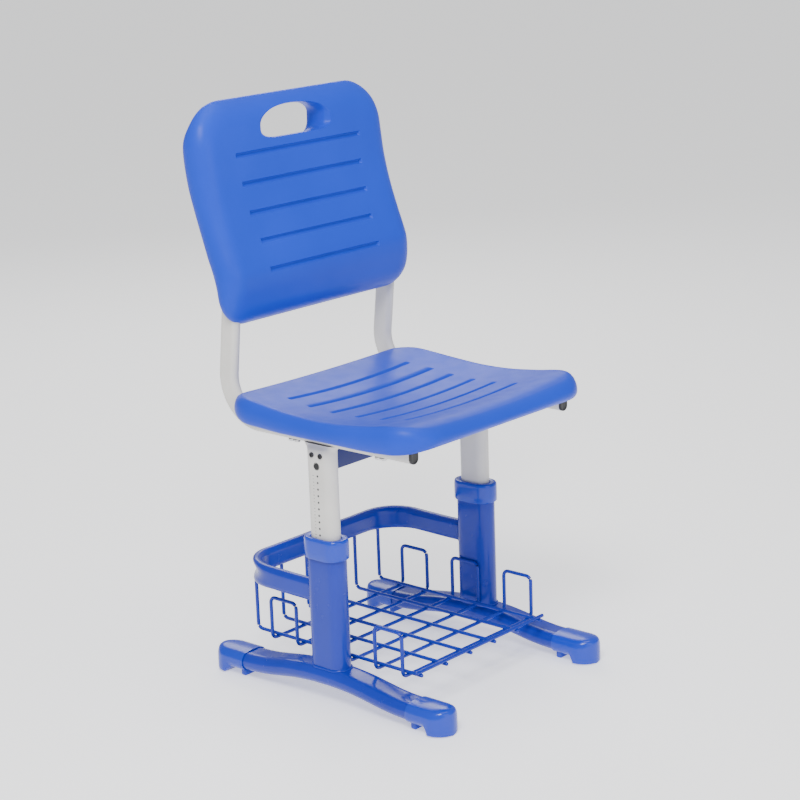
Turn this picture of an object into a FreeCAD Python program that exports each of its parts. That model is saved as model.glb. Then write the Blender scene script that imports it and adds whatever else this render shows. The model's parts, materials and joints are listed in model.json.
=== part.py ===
import FreeCAD, Part
import math
import os

import Sketcher

# Height-adjustable school chair: a steel base with two columns, a book basket and a rear band;
# a lift frame (two inner columns, two bent side tubes, seat and back) that telescopes in the
# columns; and the crank gear inside, which raises both sides together.
#
# Frame: origin on the floor midway between the columns, +Z up, the sitter faces -Y and the
# sitter's left is +X.  Millimetres throughout.

Vector = FreeCAD.Vector
doc = FreeCAD.newDocument("StudentDeskChair")

# ------------------------------------------------------------------ driving dimensions

SIZES = [
    ("leg_spacing", 312, "centre to centre of the two columns"),
    ("slide_gap", 0.35, "gap all round between sliding pieces"),
    ("running_gap", 0.05, "radial clearance of a shaft in its bearing"),
    ("end_gap", 0.3, "axial clearance beside a turning piece"),
    # base columns
    ("column_length", 60, "outer tube, long side, front to rear"),
    ("column_width", 32, "outer tube, short side"),
    ("column_wall", 1.5, "outer tube wall"),
    ("column_foot", 30, "height of the outer tube's lower end, inside the foot tube"),
    ("column_top", 226, "height of the outer tube's upper end"),
    ("collar_skirt", 23, "length of collar outside the tube"),
    ("collar_wall", 3.8, "collar wall outside the tube"),
    ("collar_lip", 4.5, "collar thickness above the tube's end"),
    ("collar_sleeve", 36, "length of guide sleeve inside the tube"),
    # feet
    ("foot_length", 392, "foot tube, end to end"),
    ("foot_width", 46, "foot tube, side to side"),
    ("foot_thickness", 25, "foot tube, height"),
    ("foot_wall", 1.5, "foot tube wall"),
    ("foot_end_height", 22, "centre of the foot tube's ends above the floor"),
    ("foot_rise", 13.8, "rise of the arch from its ends to its crown"),
    ("foot_arch", 124, "half length of the arch"),
    ("cap_reach", 16, "end cap past the tube's end"),
    ("cap_cover", 46, "end cap over the tube"),
    ("cap_wall", 2, "end cap wall"),
    ("cap_toe", 29, "length of the cap's toe that meets the floor"),
    ("cap_heel", 9.5, "length of the pad behind the toe"),
    # rear band
    ("band_depth", 32, "band tube, height"),
    ("band_width", 17, "band tube, thickness"),
    ("band_wall", 1.5, "band tube wall"),
    ("band_height", 150.5, "centre of the band above the floor"),
    ("band_reach", 167, "centre of the band's cross run behind the columns' centre"),
    ("band_bend", 54, "bend radius of the band's corners"),
    # basket
    ("wire", 4.6, "basket wire diameter"),
    ("wire_bend", 8, "bend radius of the wire's centre line"),
    ("hoop_height", 51, "centre of the cross wires above the floor"),
    ("hoop_top", 112, "centre of the hoops' upper runs above the floor"),
    ("hoop_rear", 129.5, "rearmost cross wire"),
    ("hoop_pitch", 48.2, "spacing of the cross wires"),
    ("runner_pitch", 51, "spacing of the front to rear wires"),
    ("runner_front", 138, "front end of those wires ahead of the columns' centre"),
    # lift columns
    ("inner_length", 45, "inner tube, long side"),
    ("inner_width", 25, "inner tube, short side"),
    ("inner_wall", 1.5, "inner tube wall"),
    ("inner_foot", 112, "height of the inner tube's lower end"),
    ("shoe_length", 28, "height of the guide shoe"),
    # seat and back frame
    ("rail_height", 372, "centre of the seat rails above the floor"),
    ("rail_front", 158, "front end of the rails ahead of the columns' centre"),
    ("rail_depth", 30, "side tube, in the plane of its bends"),
    ("rail_width", 15, "side tube, thickness"),
    ("rail_wall", 1.5, "side tube wall"),
    ("rail_bend", 54, "bend radius behind the seat"),
    ("upright_reach", 175, "where the uprights would meet the rails' centre line"),
    ("knee_height", 557, "height of the bend where the uprights lean back"),
    ("knee_reach", 153, "distance of that bend behind the columns' centre"),
    ("knee_bend", 160, "bend radius there"),
    ("upright_top", 692, "height of the uprights' upper end"),
    ("upright_top_reach", 194, "distance of that end behind the columns' centre"),
    ("plug_face", 4, "rail plug outside the tube"),
    # moulded seat and back
    ("seat_overhang", 33, "seat's widest side past the columns' centre line"),
    ("seat_sink", 2, "rail centre above the seat's flat underside"),
    ("back_overhang", 27, "back's widest side past the columns' centre line"),
    ("shell_wall", 4, "wall of the hollow mouldings"),
    ("groove", 2.4, "radius of the grooves in seat and back"),
    # crank gear
    ("shaft_height", 330, "centre of the cross shaft above the floor"),
    ("shaft_diameter", 10, "cross shaft"),
    ("crank_hex", 6, "hexagon socket across flats"),
    ("crank_depth", 14, "depth of the hexagon socket"),
    ("crank_port", 10, "hole in the right column for the crank"),
    ("gear_radius", 9, "pitch radius of the mitre gears"),
    ("gear_teeth", 12, "teeth on each mitre gear"),
    ("beam_height", 30, "cross beam, height"),
    ("beam_width", 26, "cross beam, front to rear"),
    ("beam_wall", 1.5, "cross beam wall"),
    ("beam_drop", 8, "shaft centre above the beam's underside"),
    ("screw_diameter", 10, "lead screws"),
    ("screw_foot", 116, "height of the lead screws' lower ends"),
    ("nut_top", 184, "height of the lead nuts' upper faces"),
    ("nut_length", 20, "lead nut, height"),
    ("post_diameter", 17, "post under the lead nut"),
    ("block_foot", 296, "height of the gear block's underside"),
    ("block_top", 353, "height of the gear block's upper face"),
    ("port_screw_height", 345, "height of the gear block's fixing screws"),
    ("port_screw_pitch", 15, "spacing of those screws"),
]


class Length:
    """A size together with the formula that ties it to the sheet."""

    def __init__(self, value, formula):
        self.value = float(value)
        self.formula = formula

    @staticmethod
    def of(other):
        return other if isinstance(other, Length) else Length(other, repr(float(other)))

    def __add__(self, other):
        other = Length.of(other)
        return Length(self.value + other.value, f"({self.formula} + {other.formula})")

    def __sub__(self, other):
        other = Length.of(other)
        return Length(self.value - other.value, f"({self.formula} - {other.formula})")

    def __rsub__(self, other):
        return Length.of(other) - self

    def __mul__(self, factor):
        return Length(self.value * factor, f"({self.formula} * {factor})")

    def __truediv__(self, divisor):
        return Length(self.value / divisor, f"({self.formula} / {divisor})")

    def __neg__(self):
        return Length(-self.value, f"(-1 * {self.formula})")

    def __float__(self):
        return self.value

    __radd__ = __add__
    __rmul__ = __mul__


class Sizes:
    """Every driving dimension, read back from the spreadsheet by its alias."""


sheet = doc.addObject("Spreadsheet::Sheet", "Sizes")
for row, (alias, value, meaning) in enumerate(SIZES, start=1):
    sheet.set(f"A{row}", meaning)
    sheet.set(f"B{row}", str(value))
    sheet.setAlias(f"B{row}", alias)
doc.recompute()

s = Sizes()
for alias, value, meaning in SIZES:
    setattr(s, alias, Length(sheet.get(alias), f"Sizes.{alias}"))

half_spacing = s.leg_spacing / 2
seat_floor = s.rail_height - s.seat_sink
SIDES = (("right", -1), ("left", 1))

# ------------------------------------------------------------------ document helpers

PIECES = []


def piece(item, label):
    """Register a document object as one sub-part of the chair."""
    item.Label = label
    PIECES.append(item)
    return item


def bind(item, **lengths):
    """Tie properties of a document object to the sheet."""
    for name, length in lengths.items():
        item.setExpression(name, Length.of(length).formula)


def place(item, x=0, y=0, z=0, turn=None):
    """Put an object at x, y, z, with each coordinate tied to the sheet."""
    spot = [Length.of(value) for value in (x, y, z)]
    rotation = turn or FreeCAD.Rotation()
    item.Placement = FreeCAD.Placement(Vector(*[float(value) for value in spot]), rotation)
    for letter, value in zip("xyz", spot):
        item.setExpression(f".Placement.Base.{letter}", value.formula)


def blank_body(label):
    """A body that another piece is cut from or cut by; it isn't a sub-part itself."""
    return doc.addObject("PartDesign::Body", label)


def new_body(label):
    return piece(blank_body(label), label)


def sketch_on(body, role, name, offset=None):
    """An empty sketch on one of the body's origin planes, moved along the plane's normal."""
    plane = next(item for item in body.Origin.OriginFeatures if item.Role == role)
    sketch = body.newObject("Sketcher::SketchObject", f"{body.Name}_{name}")
    sketch.AttachmentSupport = [(plane, "")]
    sketch.MapMode = "FlatFace"
    if offset is not None:
        offset = Length.of(offset)
        sketch.AttachmentOffset = FreeCAD.Placement(Vector(0, 0, float(offset)), FreeCAD.Rotation())
        sketch.setExpression(".AttachmentOffset.Base.z", offset.formula)
    return sketch


def constrain(sketch, name, length, *definition):
    """A dimension in a sketch, named and tied to the sheet."""
    index = sketch.addConstraint(Sketcher.Constraint(*definition, float(length)))
    sketch.renameConstraint(index, name)
    sketch.setExpression(f"Constraints.{name}", length.formula)


def add_oval(sketch, name, length, width, upright=True):
    """A flat oval about the sketch's origin: two half circles and two straight sides."""
    radius = float(width) / 2
    half = (float(length) - float(width)) / 2
    turn = 0 if upright else -math.pi / 2

    def spot(x, y):
        return Vector(x * math.cos(turn) - y * math.sin(turn), x * math.sin(turn) + y * math.cos(turn), 0)

    def half_circle(centre, start):
        circle = Part.Circle(centre, Vector(0, 0, 1), radius)
        return sketch.addGeometry(Part.ArcOfCircle(circle, start + turn, start + turn + math.pi))

    side_a = sketch.addGeometry(Part.LineSegment(spot(-radius, -half), spot(-radius, half)))
    side_b = sketch.addGeometry(Part.LineSegment(spot(radius, half), spot(radius, -half)))
    cap_a = half_circle(spot(0, half), 0)
    cap_b = half_circle(spot(0, -half), math.pi)
    for cap, point, side, end in ((cap_a, 1, side_b, 1), (cap_a, 2, side_a, 2),
                                  (cap_b, 1, side_a, 1), (cap_b, 2, side_b, 2)):
        sketch.addConstraint(Sketcher.Constraint("Tangent", cap, point, side, end))
    sketch.addConstraint(Sketcher.Constraint("Equal", cap_a, cap_b))
    sketch.addConstraint(Sketcher.Constraint("PointOnObject", cap_a, 3, -2 if upright else -1))
    sketch.addConstraint(Sketcher.Constraint("Symmetric", cap_a, 3, cap_b, 3, -1, 1))
    constrain(sketch, f"{name}_radius", width / 2, "Radius", cap_a)
    if upright:
        constrain(sketch, f"{name}_straight", length - width, "DistanceY", cap_b, 3, cap_a, 3)
    else:
        constrain(sketch, f"{name}_straight", length - width, "DistanceX", cap_b, 3, cap_a, 3)


def add_circle(sketch, name, diameter, across=0, up=0):
    """A circle at a point of the sketch."""
    spot = Vector(float(across), float(up), 0)
    circle = sketch.addGeometry(Part.Circle(spot, Vector(0, 0, 1), float(diameter) / 2))
    constrain(sketch, f"{name}_diameter", Length.of(diameter), "Diameter", circle)
    for axis, kind, value in ((-2, "DistanceX", across), (-1, "DistanceY", up)):
        if float(value) == 0:
            sketch.addConstraint(Sketcher.Constraint("PointOnObject", circle, 3, axis))
        else:
            constrain(sketch, f"{name}_{kind}", Length.of(value), kind, -1, 1, circle, 3)


def add_rectangle(sketch, name, width, height, up=0):
    """A rectangle centred across the sketch's upright axis, with its lower side at height up."""
    half = float(width) / 2
    low = float(up)
    high = low + float(height)
    corners = [Vector(-half, low, 0), Vector(half, low, 0), Vector(half, high, 0), Vector(-half, high, 0)]
    lines = [sketch.addGeometry(Part.LineSegment(corners[i], corners[(i + 1) % 4])) for i in range(4)]
    for i in range(4):
        sketch.addConstraint(Sketcher.Constraint("Coincident", lines[i], 2, lines[(i + 1) % 4], 1))
    sketch.addConstraint(Sketcher.Constraint("Symmetric", lines[0], 1, lines[0], 2, -2))
    for line, kind in zip(lines[1:], ("Vertical", "Horizontal", "Vertical")):
        sketch.addConstraint(Sketcher.Constraint(kind, line))
    constrain(sketch, f"{name}_width", Length.of(width), "DistanceX", lines[0], 1, lines[0], 2)
    constrain(sketch, f"{name}_height", Length.of(height), "DistanceY", lines[1], 1, lines[1], 2)
    if float(up) == 0:
        sketch.addConstraint(Sketcher.Constraint("PointOnObject", lines[0], 1, -1))
    else:
        constrain(sketch, f"{name}_up", Length.of(up), "DistanceY", -1, 1, lines[0], 1)


def bent_edges(points, radii):
    """Straight runs through the points, joined by tangent arcs of the given radii."""
    edges = []
    start = points[0]
    for before, corner, after, radius in zip(points, points[1:], points[2:], radii):
        to_before = (before - corner).normalize()
        to_after = (after - corner).normalize()
        half_angle = to_before.getAngle(to_after) / 2
        setback = radius / math.tan(half_angle)
        bisector = (to_before + to_after).normalize()
        centre = corner + bisector * (radius / math.sin(half_angle))
        arc_start = corner + to_before * setback
        arc_middle = centre - bisector * radius
        arc_end = corner + to_after * setback
        edges.append(Part.LineSegment(start, arc_start))
        edges.append(Part.Arc(arc_start, arc_middle, arc_end))
        start = arc_end
    edges.append(Part.LineSegment(start, points[-1]))
    return edges


def pad(body, sketch, name, length, reverse=False):
    feature = body.newObject("PartDesign::Pad", f"{body.Name}_{name}")
    feature.Profile = sketch
    feature.Reversed = reverse
    bind(feature, Length=length)
    return feature


def pocket(body, sketch, name, length=None, reverse=False):
    """Cut a sketch through everything, or to a depth.  It has to take material away."""
    doc.recompute()
    before = body.Shape.Volume
    feature = body.newObject("PartDesign::Pocket", f"{body.Name}_{name}")
    feature.Profile = sketch
    feature.Reversed = reverse
    if length is None:
        feature.Type = "ThroughAll"
    else:
        bind(feature, Length=length)
    doc.recompute()
    if body.Shape.Volume >= before:
        raise RuntimeError(f"{feature.Name} cuts nothing")
    return feature


def pipe(body, profile, points, radii, plane):
    """Sweep a profile along straight runs and tangent arcs drawn in one origin plane."""
    spine = sketch_on(body, plane, "spine")
    for edge in bent_edges(points, radii):
        spine.addGeometry(edge)
    doc.recompute()
    feature = body.newObject("PartDesign::AdditivePipe", f"{body.Name}_pipe")
    feature.Profile = profile
    feature.Spine = (spine, [f"Edge{i + 1}" for i in range(len(spine.Geometry))])
    return feature


def primitive(kind, name, **lengths):
    """A Part primitive whose sizes are tied to the sheet."""
    item = doc.addObject(f"Part::{kind}", name)
    for prop, length in lengths.items():
        setattr(item, prop, float(length))
    bind(item, **lengths)
    return item


def cut_from(label, blank, tools):
    """A sub-part made by cutting one tool, or several together, from a blank."""
    tool = tools[0]
    if len(tools) > 1:
        tool = doc.addObject("Part::MultiFuse", f"{label}_tools")
        tool.Shapes = tools
    item = doc.addObject("Part::Cut", label)
    item.Base = blank
    item.Tool = tool
    return piece(item, label)


def feature(label, shape):
    """A sub-part whose shape is set here because no sketch feature makes it."""
    item = doc.addObject("Part::Feature", label)
    item.Shape = shape
    return piece(item, label)


def cylinder(radius, length, start, direction):
    return Part.makeCylinder(float(radius), float(length), start, direction)


# ------------------------------------------------------------------ base: feet and columns

FORWARD = Vector(0, -1, 0)
UP = Vector(0, 0, 1)


def foot_points():
    """Centre line of a foot tube, front to rear, about its own ends' height: an arch."""
    half = float(s.foot_length) / 2
    arch = float(s.foot_arch)
    rise = float(s.foot_rise)
    return [Vector(-half, 0, 0), Vector(-arch, 0, 0), Vector(-arch / 3, rise, 0),
            Vector(arch / 3, rise, 0), Vector(arch, 0, 0), Vector(half, 0, 0)]


def foot_radii():
    """Arcs as large as their runs allow; the ends stay straight inside the caps."""
    arch = float(s.foot_arch)
    slope = math.atan2(float(s.foot_rise), arch * 2 / 3)
    end_setback = 0.48 * (float(s.foot_length / 2 - s.cap_cover) - arch) + 0.15 * arch
    crown_setback = 0.9 * arch / 3
    return [setback / math.tan(slope / 2) for setback in
            (end_setback, crown_setback, crown_setback, end_setback)]


def make_foot(name, side):
    body = new_body(f"foot_bar_{name}")
    profile = sketch_on(body, "XZ_Plane", "section", s.foot_length / 2)
    add_oval(profile, "outside", s.foot_width, s.foot_thickness, upright=False)
    add_oval(profile, "inside", s.foot_width - 2 * s.foot_wall, s.foot_thickness - 2 * s.foot_wall, upright=False)
    pipe(body, profile, foot_points(), foot_radii(), "YZ_Plane")
    slot = sketch_on(body, "XY_Plane", "column_slot", s.column_foot - s.foot_end_height)
    add_oval(slot, "column", s.column_length, s.column_width)
    pocket(body, slot, "slot", reverse=True)
    place(body, half_spacing * side, 0, s.foot_end_height)


def make_column(name, side):
    body = new_body(f"outer_column_{name}")
    section = sketch_on(body, "XY_Plane", "section")
    add_oval(section, "outside", s.column_length, s.column_width)
    add_oval(section, "inside", s.column_length - 2 * s.column_wall, s.column_width - 2 * s.column_wall)
    pad(body, section, "tube", s.column_top - s.column_foot)
    place(body, half_spacing * side, 0, s.column_foot)


def make_collar(name, side):
    """A moulded collar: it caps the tube's end, and its sleeve guides the inner column."""
    body = new_body(f"column_collar_{name}")
    outside = sketch_on(body, "XY_Plane", "outside")
    add_oval(outside, "skirt", s.column_length + 2 * s.collar_wall, s.column_width + 2 * s.collar_wall)
    pad(body, outside, "skirt", s.collar_skirt + s.collar_lip)
    recess = sketch_on(body, "XY_Plane", "recess")
    add_oval(recess, "tube", s.column_length, s.column_width)
    pocket(body, recess, "recess", s.collar_skirt, reverse=True)
    sleeve = sketch_on(body, "XY_Plane", "sleeve", s.collar_skirt)
    add_oval(sleeve, "sleeve", s.column_length - 2 * s.column_wall, s.column_width - 2 * s.column_wall)
    pad(body, sleeve, "sleeve", s.collar_sleeve, reverse=True)
    bore = sketch_on(body, "XY_Plane", "bore", s.collar_skirt + s.collar_lip)
    add_oval(bore, "bore", s.inner_length + 2 * s.slide_gap, s.inner_width + 2 * s.slide_gap)
    pocket(body, bore, "bore")
    place(body, half_spacing * side, 0, s.column_top - s.collar_skirt)


def tube_form(length, width, height, centre_height):
    """A solid flat oval lying along +Y from the origin, long side level."""
    radius = height / 2
    half = width / 2 - radius
    form = Part.makeBox(2 * half, length, height, Vector(-half, 0, centre_height - radius))
    for hand in (-1, 1):
        form = form.fuse(cylinder(radius, length, Vector(hand * half, 0, centre_height), Vector(0, 1, 0)))
    return form.removeSplitter()


def make_foot_cap(end, direction, name, side):
    """A rounded end cap with a socket for the foot tube, a toe and a heel pad on the floor."""
    rim = 4.0
    heel_share = 0.62
    heel_start = 2.0
    wall = float(s.cap_wall)
    cover = float(s.cap_cover)
    length = cover + float(s.cap_reach)
    centre = float(s.foot_end_height)
    half = float(s.foot_width) / 2 + wall
    radius = float(s.foot_thickness) / 2 + wall
    top = centre + radius
    nose_start = length - half
    skirt = tube_form(nose_start, 2 * half, 2 * radius, centre)
    diagonal = math.sqrt(0.5)
    outline = [
        Part.LineSegment(Vector(0, 0, 0), Vector(half - rim, 0, 0)).toShape(),
        Part.Arc(Vector(half - rim, 0, 0),
                 Vector(half - rim + rim * diagonal, 0, rim - rim * diagonal),
                 Vector(half, 0, rim)).toShape(),
        Part.LineSegment(Vector(half, 0, rim), Vector(half, 0, centre)).toShape(),
        Part.Arc(Vector(half, 0, centre),
                 Vector(half - radius + radius * diagonal, 0, centre + radius * diagonal),
                 Vector(half - radius, 0, top)).toShape(),
        Part.LineSegment(Vector(half - radius, 0, top), Vector(0, 0, top)).toShape(),
        Part.LineSegment(Vector(0, 0, top), Vector(0, 0, 0)).toShape()]
    nose = Part.Face(Part.Wire(outline)).revolve(Vector(), UP, 180)
    nose.translate(Vector(0, nose_start, 0))
    toe_rear = length - float(s.cap_toe)
    toe = Part.makeBox(2 * half, nose_start - toe_rear, centre, Vector(-half, toe_rear, 0))
    lower = [edge for edge in toe.Edges if edge.CenterOfMass.z < 0.1 and abs(edge.CenterOfMass.x) > half - 0.1]
    toe = toe.makeFillet(rim, lower)
    heel_half = half * heel_share
    heel = Part.makeBox(2 * heel_half, float(s.cap_heel), centre - radius + wall + rim,
                        Vector(-heel_half, heel_start, 0))
    upright = [edge for edge in heel.Edges if edge.BoundBox.ZLength > rim]
    heel = heel.makeFillet(rim * 0.75, upright)
    socket = tube_form(cover, float(s.foot_width), float(s.foot_thickness), centre)
    shape = skirt.fuse([nose, toe, heel]).cut(socket).removeSplitter()
    cap = feature(f"foot_cap_{end}_{name}", shape)
    place(cap, half_spacing * side, (s.foot_length / 2 - s.cap_cover) * direction, 0,
          FreeCAD.Rotation(UP, 0 if direction > 0 else 180))


for side_name, side_sign in SIDES:
    make_foot(side_name, side_sign)
    make_column(side_name, side_sign)
    make_collar(side_name, side_sign)
    for end_name, end_sign in (("front", -1), ("rear", 1)):
        make_foot_cap(end_name, end_sign, side_name, side_sign)

# ------------------------------------------------------------------ base: band and basket


def band_pipe(body, hollow):
    """The band's run from one column round behind to the other, as a tube or filled."""
    start = s.column_length / 2 - s.column_width / 2
    section = sketch_on(body, "XZ_Plane", "section", -start)
    add_oval(section, "outside", s.band_depth, s.band_width)
    if hollow:
        add_oval(section, "inside", s.band_depth - 2 * s.band_wall, s.band_width - 2 * s.band_wall)
    span = float(s.leg_spacing)
    points = [Vector(0, float(start), 0), Vector(0, float(s.band_reach), 0),
              Vector(span, float(s.band_reach), 0), Vector(span, float(start), 0)]
    pipe(body, section, points, [float(s.band_bend)] * 2, "XY_Plane")
    place(body, -half_spacing, 0, s.band_height)
    return body


def make_band():
    """The flat tube round the rear, its ends coped to the columns."""
    forms = []
    for name, side in SIDES:
        form = blank_body(f"column_form_{name}")
        section = sketch_on(form, "XY_Plane", "section")
        add_oval(section, "outside", s.column_length, s.column_width)
        pad(form, section, "form", s.column_top - s.column_foot)
        place(form, half_spacing * side, 0, s.column_foot)
        forms.append(form)
    cut_from("rear_band", band_pipe(blank_body("band_blank"), True), forms)


def bent_wire(points):
    """One round wire through the points, with the wire's own bend radius at each corner."""
    edges = [edge.toShape() for edge in bent_edges(points, [float(s.wire_bend)] * (len(points) - 2))]
    path = Part.Wire(edges)
    first = (points[1] - points[0]).normalize()
    section = Part.Wire(Part.makeCircle(float(s.wire) / 2, points[0], first))
    return path.makePipeShell([section], True, False)


def make_runner(index, band_form):
    """A front to rear wire on top of the cross wires; its rear end rises to the band's underside."""
    rise = s.band_height - s.hoop_height
    points = [Vector(-float(s.runner_front), float(s.wire), 0),
              Vector(float(s.band_reach), float(s.wire), 0),
              Vector(float(s.band_reach), float(rise), 0)]
    body = blank_body(f"wire_blank_{index + 1}")
    section = sketch_on(body, "XZ_Plane", "section", s.runner_front)
    add_circle(section, "wire", s.wire, up=s.wire)
    pipe(body, section, points, [float(s.wire_bend)], "YZ_Plane")
    place(body, s.runner_pitch * (index - 2.5), 0, s.hoop_height)
    cut_from(f"basket_wire_{index + 1}", body, [band_form])


def make_hoop(name, index):
    """A closed wire hoop: two cross wires whose ends rise into a loop at each side."""
    rear = float(s.hoop_rear - s.hoop_pitch * (2 * index))
    front = rear - float(s.hoop_pitch)
    reach = float(half_spacing - s.column_width / 2 - s.wire / 2)
    low = 0.0
    high = float(s.hoop_top - s.hoop_height)
    halves = []
    for hand in (-1, 1):
        x = hand * reach
        halves.append(bent_wire([Vector(0, rear, low), Vector(x, rear, low), Vector(x, rear, high),
                                 Vector(x, front, high), Vector(x, front, low), Vector(0, front, low)]))
    hoop = feature(f"basket_hoop_{name}", halves[0].fuse(halves[1]).removeSplitter())
    place(hoop, 0, 0, s.hoop_height)


def make_front_wire():
    """The basket's front edge, laid across the front to rear wires."""
    span = s.runner_pitch * 5 + 4 * s.wire
    wire = primitive("Cylinder", "basket_front_wire", Radius=s.wire / 2, Height=span)
    place(wire, -span / 2, s.wire - s.runner_front, s.hoop_height + 2 * s.wire,
          FreeCAD.Rotation(Vector(0, 1, 0), 90))
    piece(wire, "basket_front_wire")


make_band()
filled_band = band_pipe(blank_body("band_form"), False)
for runner in range(6):
    make_runner(runner, filled_band)
for hoop_index, hoop_name in enumerate(("rear", "middle", "front")):
    make_hoop(hoop_name, hoop_index)
make_front_wire()

# ------------------------------------------------------------------ base: posts and lead nuts


def make_post(name, side):
    """A tube on a base plate, standing in the column; it carries the lead nut."""
    plate_thickness = 4
    post_wall = 2
    body = new_body(f"nut_post_{name}")
    plate = sketch_on(body, "XY_Plane", "plate")
    add_oval(plate, "plate", s.column_length - 2 * s.column_wall, s.column_width - 2 * s.column_wall)
    pad(body, plate, "plate", Length.of(plate_thickness))
    ring = sketch_on(body, "XY_Plane", "ring", plate_thickness)
    add_circle(ring, "outside", s.post_diameter)
    add_circle(ring, "inside", s.post_diameter - 2 * post_wall)
    pad(body, ring, "post", s.nut_top - s.nut_length - s.column_foot - plate_thickness)
    place(body, half_spacing * side, 0, s.column_foot)


def make_nut(name, side):
    body = new_body(f"lead_nut_{name}")
    section = sketch_on(body, "XY_Plane", "section")
    add_circle(section, "outside", s.post_diameter)
    add_circle(section, "bore", s.screw_diameter + 2 * s.running_gap)
    pad(body, section, "nut", s.nut_length)
    place(body, half_spacing * side, 0, s.nut_top - s.nut_length)


for side_name, side_sign in SIDES:
    make_post(side_name, side_sign)
    make_nut(side_name, side_sign)

# ------------------------------------------------------------------ lift frame

column_face = half_spacing + s.inner_width / 2
inner_face = half_spacing - s.inner_width / 2
SEAT_SCREW_PLACES = (55, 45, -99, -109)
BACK_SCREW_SHARES = (0.35, 0.8)
M5_SHANK = 5
M5_HEAD = 9
M4_SHANK = 4
M4_HEAD = 7
M4_HEAD_HEIGHT = 2.2
BACK_SCREW_HEAD = 9
BACK_SCREW_LENGTH = 40
SCREW_HEAD_HEIGHT = 3
BUSH_OUTSIDE = 13


def rail_points():
    """Centre line of a side tube in (y, z) about the rail's height, front to top."""
    rail = float(s.rail_height)
    return [Vector(-float(s.rail_front), 0, 0),
            Vector(float(s.upright_reach), 0, 0),
            Vector(float(s.knee_reach), float(s.knee_height) - rail, 0),
            Vector(float(s.upright_top_reach), float(s.upright_top) - rail, 0)]


def upright_direction():
    """Unit vector up the leaning part of the uprights."""
    return Vector(0, float(s.upright_top_reach - s.knee_reach), float(s.upright_top - s.knee_height)).normalize()


def back_screw_spots():
    """Points on the leaning uprights' centre line where the back is screwed on."""
    return [(s.knee_reach + (s.upright_top_reach - s.knee_reach) * share,
             s.knee_height + (s.upright_top - s.knee_height) * share) for share in BACK_SCREW_SHARES]


def back_normal():
    """Unit vector straight back out of the leaning uprights."""
    lean = upright_direction()
    return Vector(0, lean.z, -lean.y)


def make_side_frame(name, side):
    """Seat rail and upright in one bent flat-oval tube, drilled for the seat and back screws."""
    body = blank_body(f"side_tube_{name}")
    section = sketch_on(body, "XZ_Plane", "section", s.rail_front)
    add_oval(section, "outside", s.rail_depth, s.rail_width)
    add_oval(section, "inside", s.rail_depth - 2 * s.rail_wall, s.rail_width - 2 * s.rail_wall)
    pipe(body, section, rail_points(), [float(s.rail_bend), float(s.knee_bend)], "YZ_Plane")
    drill = sketch_on(body, "XY_Plane", "seat_holes", s.rail_depth)
    for index, place_y in enumerate(SEAT_SCREW_PLACES):
        add_circle(drill, f"hole{index}", M5_SHANK, 0, place_y)
    pocket(body, drill, "seat_holes")
    place(body, half_spacing * side, 0, s.rail_height)
    drills = []
    normal = back_normal()
    for index, (reach, height) in enumerate(back_screw_spots()):
        hole = primitive("Cylinder", f"back_drill_{name}_{index}", Radius=Length.of(M5_SHANK / 2),
                         Height=s.rail_depth * 2)
        place(hole, half_spacing * side, reach - s.rail_depth * normal.y, height - s.rail_depth * normal.z,
              FreeCAD.Rotation(UP, normal))
        drills.append(hole)
    cut_from(f"side_frame_{name}", body, drills)


def make_rail_plug(name, side):
    body = new_body(f"rail_plug_{name}")
    face = sketch_on(body, "XZ_Plane", "face")
    add_oval(face, "face", s.rail_depth, s.rail_width)
    pad(body, face, "face", s.plug_face)
    tongue = sketch_on(body, "XZ_Plane", "tongue")
    add_oval(tongue, "tongue", s.rail_depth - 2 * s.rail_wall, s.rail_width - 2 * s.rail_wall)
    pad(body, tongue, "tongue", 3 * s.plug_face, reverse=True)
    place(body, half_spacing * side, -s.rail_front, s.rail_height)


def make_inner_column(name, side):
    """Inner tube with its top notched round the rail, and holes for the crank gear."""
    body = new_body(f"inner_column_{name}")
    section = sketch_on(body, "XY_Plane", "section")
    add_oval(section, "outside", s.inner_length, s.inner_width)
    add_oval(section, "inside", s.inner_length - 2 * s.inner_wall, s.inner_width - 2 * s.inner_wall)
    pad(body, section, "tube", seat_floor - s.end_gap - s.inner_foot)
    notch = sketch_on(body, "XZ_Plane", "notch", s.inner_length)
    centre = s.rail_height - s.inner_foot - (s.rail_depth - s.rail_width) / 2
    add_circle(notch, "rail", s.rail_width, up=centre)
    pocket(body, notch, "rail_notch")
    slot = sketch_on(body, "XZ_Plane", "slot", s.inner_length)
    add_rectangle(slot, "rail", s.rail_width, s.rail_depth, up=centre)
    pocket(body, slot, "rail_slot")
    shaft_up = s.shaft_height - s.inner_foot
    screw_up = s.port_screw_height - s.inner_foot
    outward = s.inner_width
    # The YZ plane's normal is +X, so an offset of side * width reaches past one wall only.
    inner_wall_sketch = sketch_on(body, "YZ_Plane", "bush_hole", outward * -side)
    add_circle(inner_wall_sketch, "bush", BUSH_OUTSIDE, up=shaft_up)
    pocket(body, inner_wall_sketch, "bush_hole", s.inner_width, reverse=side > 0)
    outer_wall_sketch = sketch_on(body, "YZ_Plane", "screw_holes", outward * side)
    for index, across in enumerate((s.port_screw_pitch / -2, s.port_screw_pitch / 2)):
        add_circle(outer_wall_sketch, f"screw{index}", M4_SHANK, across, screw_up)
    if side < 0:
        add_circle(outer_wall_sketch, "port", s.crank_port, up=shaft_up)
    pocket(body, outer_wall_sketch, "outer_holes", s.inner_width, reverse=side < 0)
    place(body, half_spacing * side, 0, s.inner_foot)


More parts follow.
